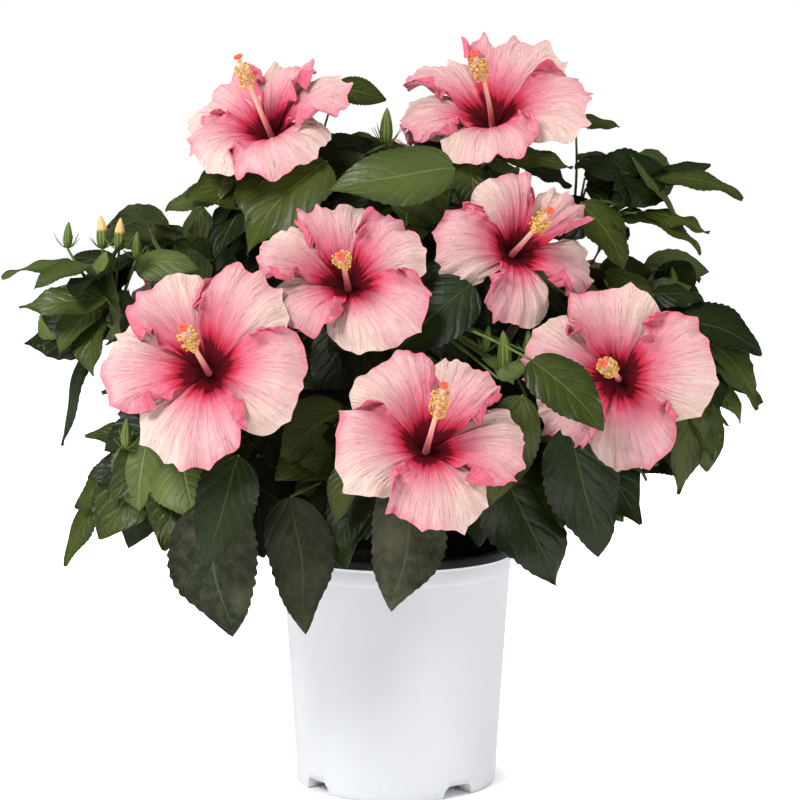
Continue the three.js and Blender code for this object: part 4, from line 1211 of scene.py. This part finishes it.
number = 0
for mass in MASSES:
    for bloom in mass["blooms"]:
        throat, level, rise, axis = bloom_frame(bloom)
        aside = COLUMN_TIPS.get(number, (0, 3))
        reach = bloom[3] / 2 * COLUMN["reach"]
        tip = throat + axis * reach + level * aside[0] + rise * aside[1]
        line = bent(throat - axis * 11, axis, tip, 0.5)
        steps = np.linspace(0, 1, 22)
        radii = COLUMN["waist"] + (COLUMN["foot"] - COLUMN["waist"]) * (1 - steps) ** 2
        columns.add(*tube([line.at(t) for t in steps], radii, 12))
        steps = np.linspace(0.70, 0.95, 8)
        sleeves.add(*tube([line.at(t) for t in steps], [1.7] * 8, 10))
        way = line.way(1)
        sideways = unit(np.cross(way, UP))
        over = np.cross(way, sideways)
        for k in range(5):
            turn = k * 2 * math.pi / 5 + number
            spread = sideways * math.cos(turn) + over * math.sin(turn)
            arm = bent(tip - way, way, tip + way * 2.6 + spread * 1.7, 0.5)
            columns.add(*tube([arm.at(t) for t in np.linspace(0, 1, 5)], [0.6, 0.45, 0.4, 0.4, 0.4], 6))
            stigmas.add(*ball(tip + way * 2.8 + spread * 1.8, 1.5))
        number += 1


def column_skin(tree):
    along = own_uv(tree, "shape")[1]
    fleck = speckle(tree, own_place(tree), 500.0)
    blush = mixed(tree, between(tree, along, 0.1, 0.55), "d2405c", "e9b39c")
    return {"Base Color": mixed(tree, times(tree, fleck, 0.3), blush, "f0cdb6")}


def red_velvet(tree):
    place = own_place(tree)
    fleck = speckle(tree, place, 700.0)
    return {"Base Color": mixed(tree, fleck, "d9331c", "f0603a"), "Normal": bump(tree, fleck, 0.6, 0.4)}


def pollen(tree):
    place = own_place(tree)
    fleck = speckle(tree, place, 800.0, 3.0)
    return {"Base Color": mixed(tree, between(tree, fleck, 0.3, 0.7), "b88338", "e6c06c"),
            "Normal": bump(tree, fleck, 0.7, 0.3)}


def silk_thread(tree):
    fleck = speckle(tree, own_place(tree), 300.0)
    return {"Base Color": mixed(tree, fleck, "e8c0a2", "f2d9b8")}


gold = finish("anther_pollen", {"Roughness": 0.8}, pollen)
thread_skin = finish("anther_thread", {"Roughness": 0.6}, silk_thread)
column_piece = columns.piece("columns", [finish("column_pink", {"Roughness": 0.5}, column_skin)])
stigma_piece = stigmas.piece("stigmas",
                             [finish("stigma_red", {"Roughness": 0.7, "Sheen Weight": 0.4}, red_velvet)],
                             crease=80)

brush = bpy.data.node_groups.new("anther_brush", "GeometryNodeTree")
brush.interface.new_socket("Sleeve", in_out="INPUT", socket_type="NodeSocketGeometry")
brush.interface.new_socket("Brush", in_out="OUTPUT", socket_type="NodeSocketGeometry")
brush_inputs = number_inputs(brush, "Density", "Thread length")
given = node(brush, "NodeGroupInput").outputs
roots = node(brush, "GeometryNodeDistributePointsOnFaces",
             {"Mesh": given["Sleeve"], "Density": given["Density"], "Seed": given["Seed"]})
thread = node(brush, "GeometryNodeMeshCone",
              {"Vertices": 4, "Side Segments": 1, "Radius Top": 0.00013, "Radius Bottom": 0.0002,
                                              "Depth": given["Thread length"]}, fill_type="NONE")
thread = node(brush, "GeometryNodeSetMaterial",
              {"Geometry": thread.outputs["Mesh"], "Material": thread_skin})
anther = node(brush, "GeometryNodeMeshIcoSphere", {"Radius": 0.0012, "Subdivisions": 1})
at_end = node(brush, "ShaderNodeCombineXYZ", {2: given["Thread length"]})
anther = node(brush, "GeometryNodeTransform",
              {"Geometry": anther.outputs["Mesh"], "Translation": at_end.outputs[0],
                                               "Scale": (1.25, 0.85, 0.8)})
anther = node(brush, "GeometryNodeSetMaterial", {"Geometry": anther.outputs[0], "Material": gold})
stamen = node(brush, "GeometryNodeJoinGeometry")
brush.links.new(anther.outputs[0], stamen.inputs[0])
brush.links.new(thread.outputs[0], stamen.inputs[0])
length = node(brush, "FunctionNodeRandomValue", {2: 0.5, 3: 1.2, "Seed": given["Seed"]}, data_type="FLOAT")
planted = node(brush, "GeometryNodeInstanceOnPoints",
               {"Points": roots.outputs["Points"], "Instance": stamen.outputs[0],
                "Rotation": roots.outputs["Rotation"],
                "Scale": length.outputs[1]})
made_solid = node(brush, "GeometryNodeRealizeInstances", {"Geometry": planted.outputs[0]})
node(brush, "NodeGroupOutput", {"Brush": made_solid.outputs[0]})

anthers = sleeves.piece("anthers", [gold])
sleeve_area = sum(face.area for face in anthers.data.polygons)
brushing = anthers.modifiers.new("brush", "NODES")
brushing.node_group = brush
brushing[brush_inputs["Density"]] = number * COLUMN["threads"] / sleeve_area
brushing[brush_inputs["Thread length"]] = COLUMN["thread"] / 1000
brushing[brush_inputs["Seed"]] = 8
as_plain_mesh(anthers)
for made in (column_piece, stigma_piece, anthers):
    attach(made, "root")
    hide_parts(*("foliage_" + mass["name"] for mass in MASSES if mass["blooms"]))


# ---- Calyces and buds -----------------------------------------------------------------------------
# A green cup of five pointed lobes holds each bloom, with a ring of narrow bracts under it. Buds are
# the same cup still shut round the furled petals, striped with yellow, their tips peach as they swell.
CUP = {"deep": 15.0, "wide": 7.8, "lobe": 5.0, "bracts": 7, "bract": 12.0}
BUD = {"long": 22.0, "places": (0, 0.06, 0.2, 0.35, 0.6, 0.8, 0.95, 1),
       "radii": (0.8, 2.9, 3.7, 3.9, 3.3, 2.3, 1.0, 0.3)}
cups, buds = Heap(), Heap()


def bract(foot, way, out, long, dice):
    """A narrow bract that stands out from its foot and curls up."""
    side = unit(np.cross(way, out))
    v = np.linspace(0, 1, 7)[:, None]
    u = np.array([-1.0, 0.0, 1.0])[None]
    curl = dice.uniform(0.4, 1.1)
    spine = foot + out * (long * 0.75 * v) + way * (long * (0.25 * v + curl * v ** 2 * 0.7))
    wide = 0.85 * np.sqrt(np.clip(v * 4, 0, 1)) * (1.02 - v) ** 0.5
    grid = spine[:, None] + side * (u * wide)[..., None] + way * (0.25 * u ** 2)[..., None]
    return two_sided(grid, facing(grid), 0.35, u * 0.5 + 0.5, v)


def furled(along, angles):
    """The five folds of a shut bud."""
    return 0.09 * np.cos(5 * angles) * math.sin(math.pi * min(1, along + 0.1))


bract_faces, _ = sheet_faces(7, 3)
dice = np.random.default_rng(77)
for mass in MASSES:
    for bloom in mass["blooms"]:
        throat, level, rise, axis = bloom_frame(bloom)
        base = throat - axis * (CUP["deep"] + 13)
        angles = np.linspace(0, 2 * math.pi, 41)[None]
        v = np.linspace(0, 1, 12)[:, None]
        lobes = np.abs(np.cos(2.5 * angles))
        deep = CUP["deep"] * v + CUP["lobe"] * lobes * smooth(v, 0.55, 1.0)
        deep = deep - 3 * (1 - lobes) * smooth(v, 0.6, 1.0)
        wide = 1.6 + (CUP["wide"] - 1.6) * np.sin(np.clip(v * 1.25, 0, 1) * math.pi / 2) ** 0.8
        wide = wide + 1.6 * lobes * smooth(v, 0.7, 1.0)
        grid = base + axis * deep[..., None] + (wide * np.cos(angles))[..., None] * level
        grid = grid + (wide * np.sin(angles))[..., None] * rise
        normal = facing(grid)
        if (normal[3, 0] @ level) < 0:
            normal = -normal
        points, uv = two_sided(grid, normal, 0.7, angles / (2 * math.pi), v)
        cups.add(points, sheet_faces(12, 41)[0], uv)
        for k in range(CUP["bracts"]):
            turn = 2 * math.pi * k / CUP["bracts"]
            out = level * math.cos(turn) + rise * math.sin(turn)
            points, uv = bract(base + out * 1.6 + axis, axis, out, CUP["bract"] * dice.uniform(0.85, 1.2),
                               dice)
            cups.add(points, bract_faces, uv)
    for x, y, z, long in mass["buds"]:
        foot = np.array([x, y, z - long / 2])
        steps = np.linspace(0, 1, 16)
        radii = np.interp(steps, BUD["places"], BUD["radii"]) * long / BUD["long"]
        lean = np.array([dice.uniform(-2, 2), dice.uniform(-2, 2), 0])
        peach = 1.0 if mass["name"] == "left" and long > 20 else 0.0
        points, faces, uv = tube([foot + UP * long * t + lean * t ** 2 for t in steps], radii, 20, furled)
        buds.add(points, faces, uv, tone=(peach, dice.random()))
        for k in range(CUP["bracts"]):
            turn = 2 * math.pi * k / CUP["bracts"] + 0.3
            out = np.array([math.cos(turn), math.sin(turn), 0])
            points, uv = bract(foot + out * 1.4, UP, out, 0.55 * long * dice.uniform(0.8, 1.2), dice)
            cups.add(points, bract_faces, uv)


def green_cup(tree):
    across = own_uv(tree, "shape")[0]
    cloud = speckle(tree, own_place(tree), 220.0, 3.0)
    rib = maths(tree, "PINGPONG", times(tree, across, 10.0), 0.5)
    tint = mixed(tree, cloud, "41581f", "718a38")
    return {"Base Color": mixed(tree, times(tree, between(tree, rib, 0.3, 0.5), 0.4), tint, "98a550"),
            "Normal": bump(tree, rib, 0.5, 0.5)}


def striped_bud(tree):
    across, along = own_uv(tree, "shape")
    peach = own_uv(tree, "tone")[0]
    cloud = speckle(tree, own_place(tree), 260.0, 3.0)
    rib = maths(tree, "PINGPONG", times(tree, across, 10.0), 0.5)
    tint = mixed(tree, cloud, "33491a", "566e28")
    striped = mixed(tree, times(tree, between(tree, rib, 0.25, 0.45), 0.55), tint, "96a043")
    swollen = times(tree, peach, between(tree, along, 0.5, 0.62))
    return {"Base Color": mixed(tree, swollen, striped, "e3b676"), "Normal": bump(tree, rib, 0.6, 0.6)}


cup_piece = cups.piece("calyces", [finish("calyx_green", {"Roughness": 0.55}, green_cup)])
bud_piece = buds.piece("buds", [finish("bud_striped", {"Roughness": 0.5}, striped_bud)])
for made, carriers in ((cup_piece, [m for m in MASSES if m["blooms"] or m["buds"]]),
                       (bud_piece, [m for m in MASSES if m["buds"]])):
    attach(made, "root")
    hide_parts(*("foliage_" + mass["name"] for mass in carriers))


# ---- Update ---------------------------------------------------------------------------------------
bpy.context.view_layer.update()
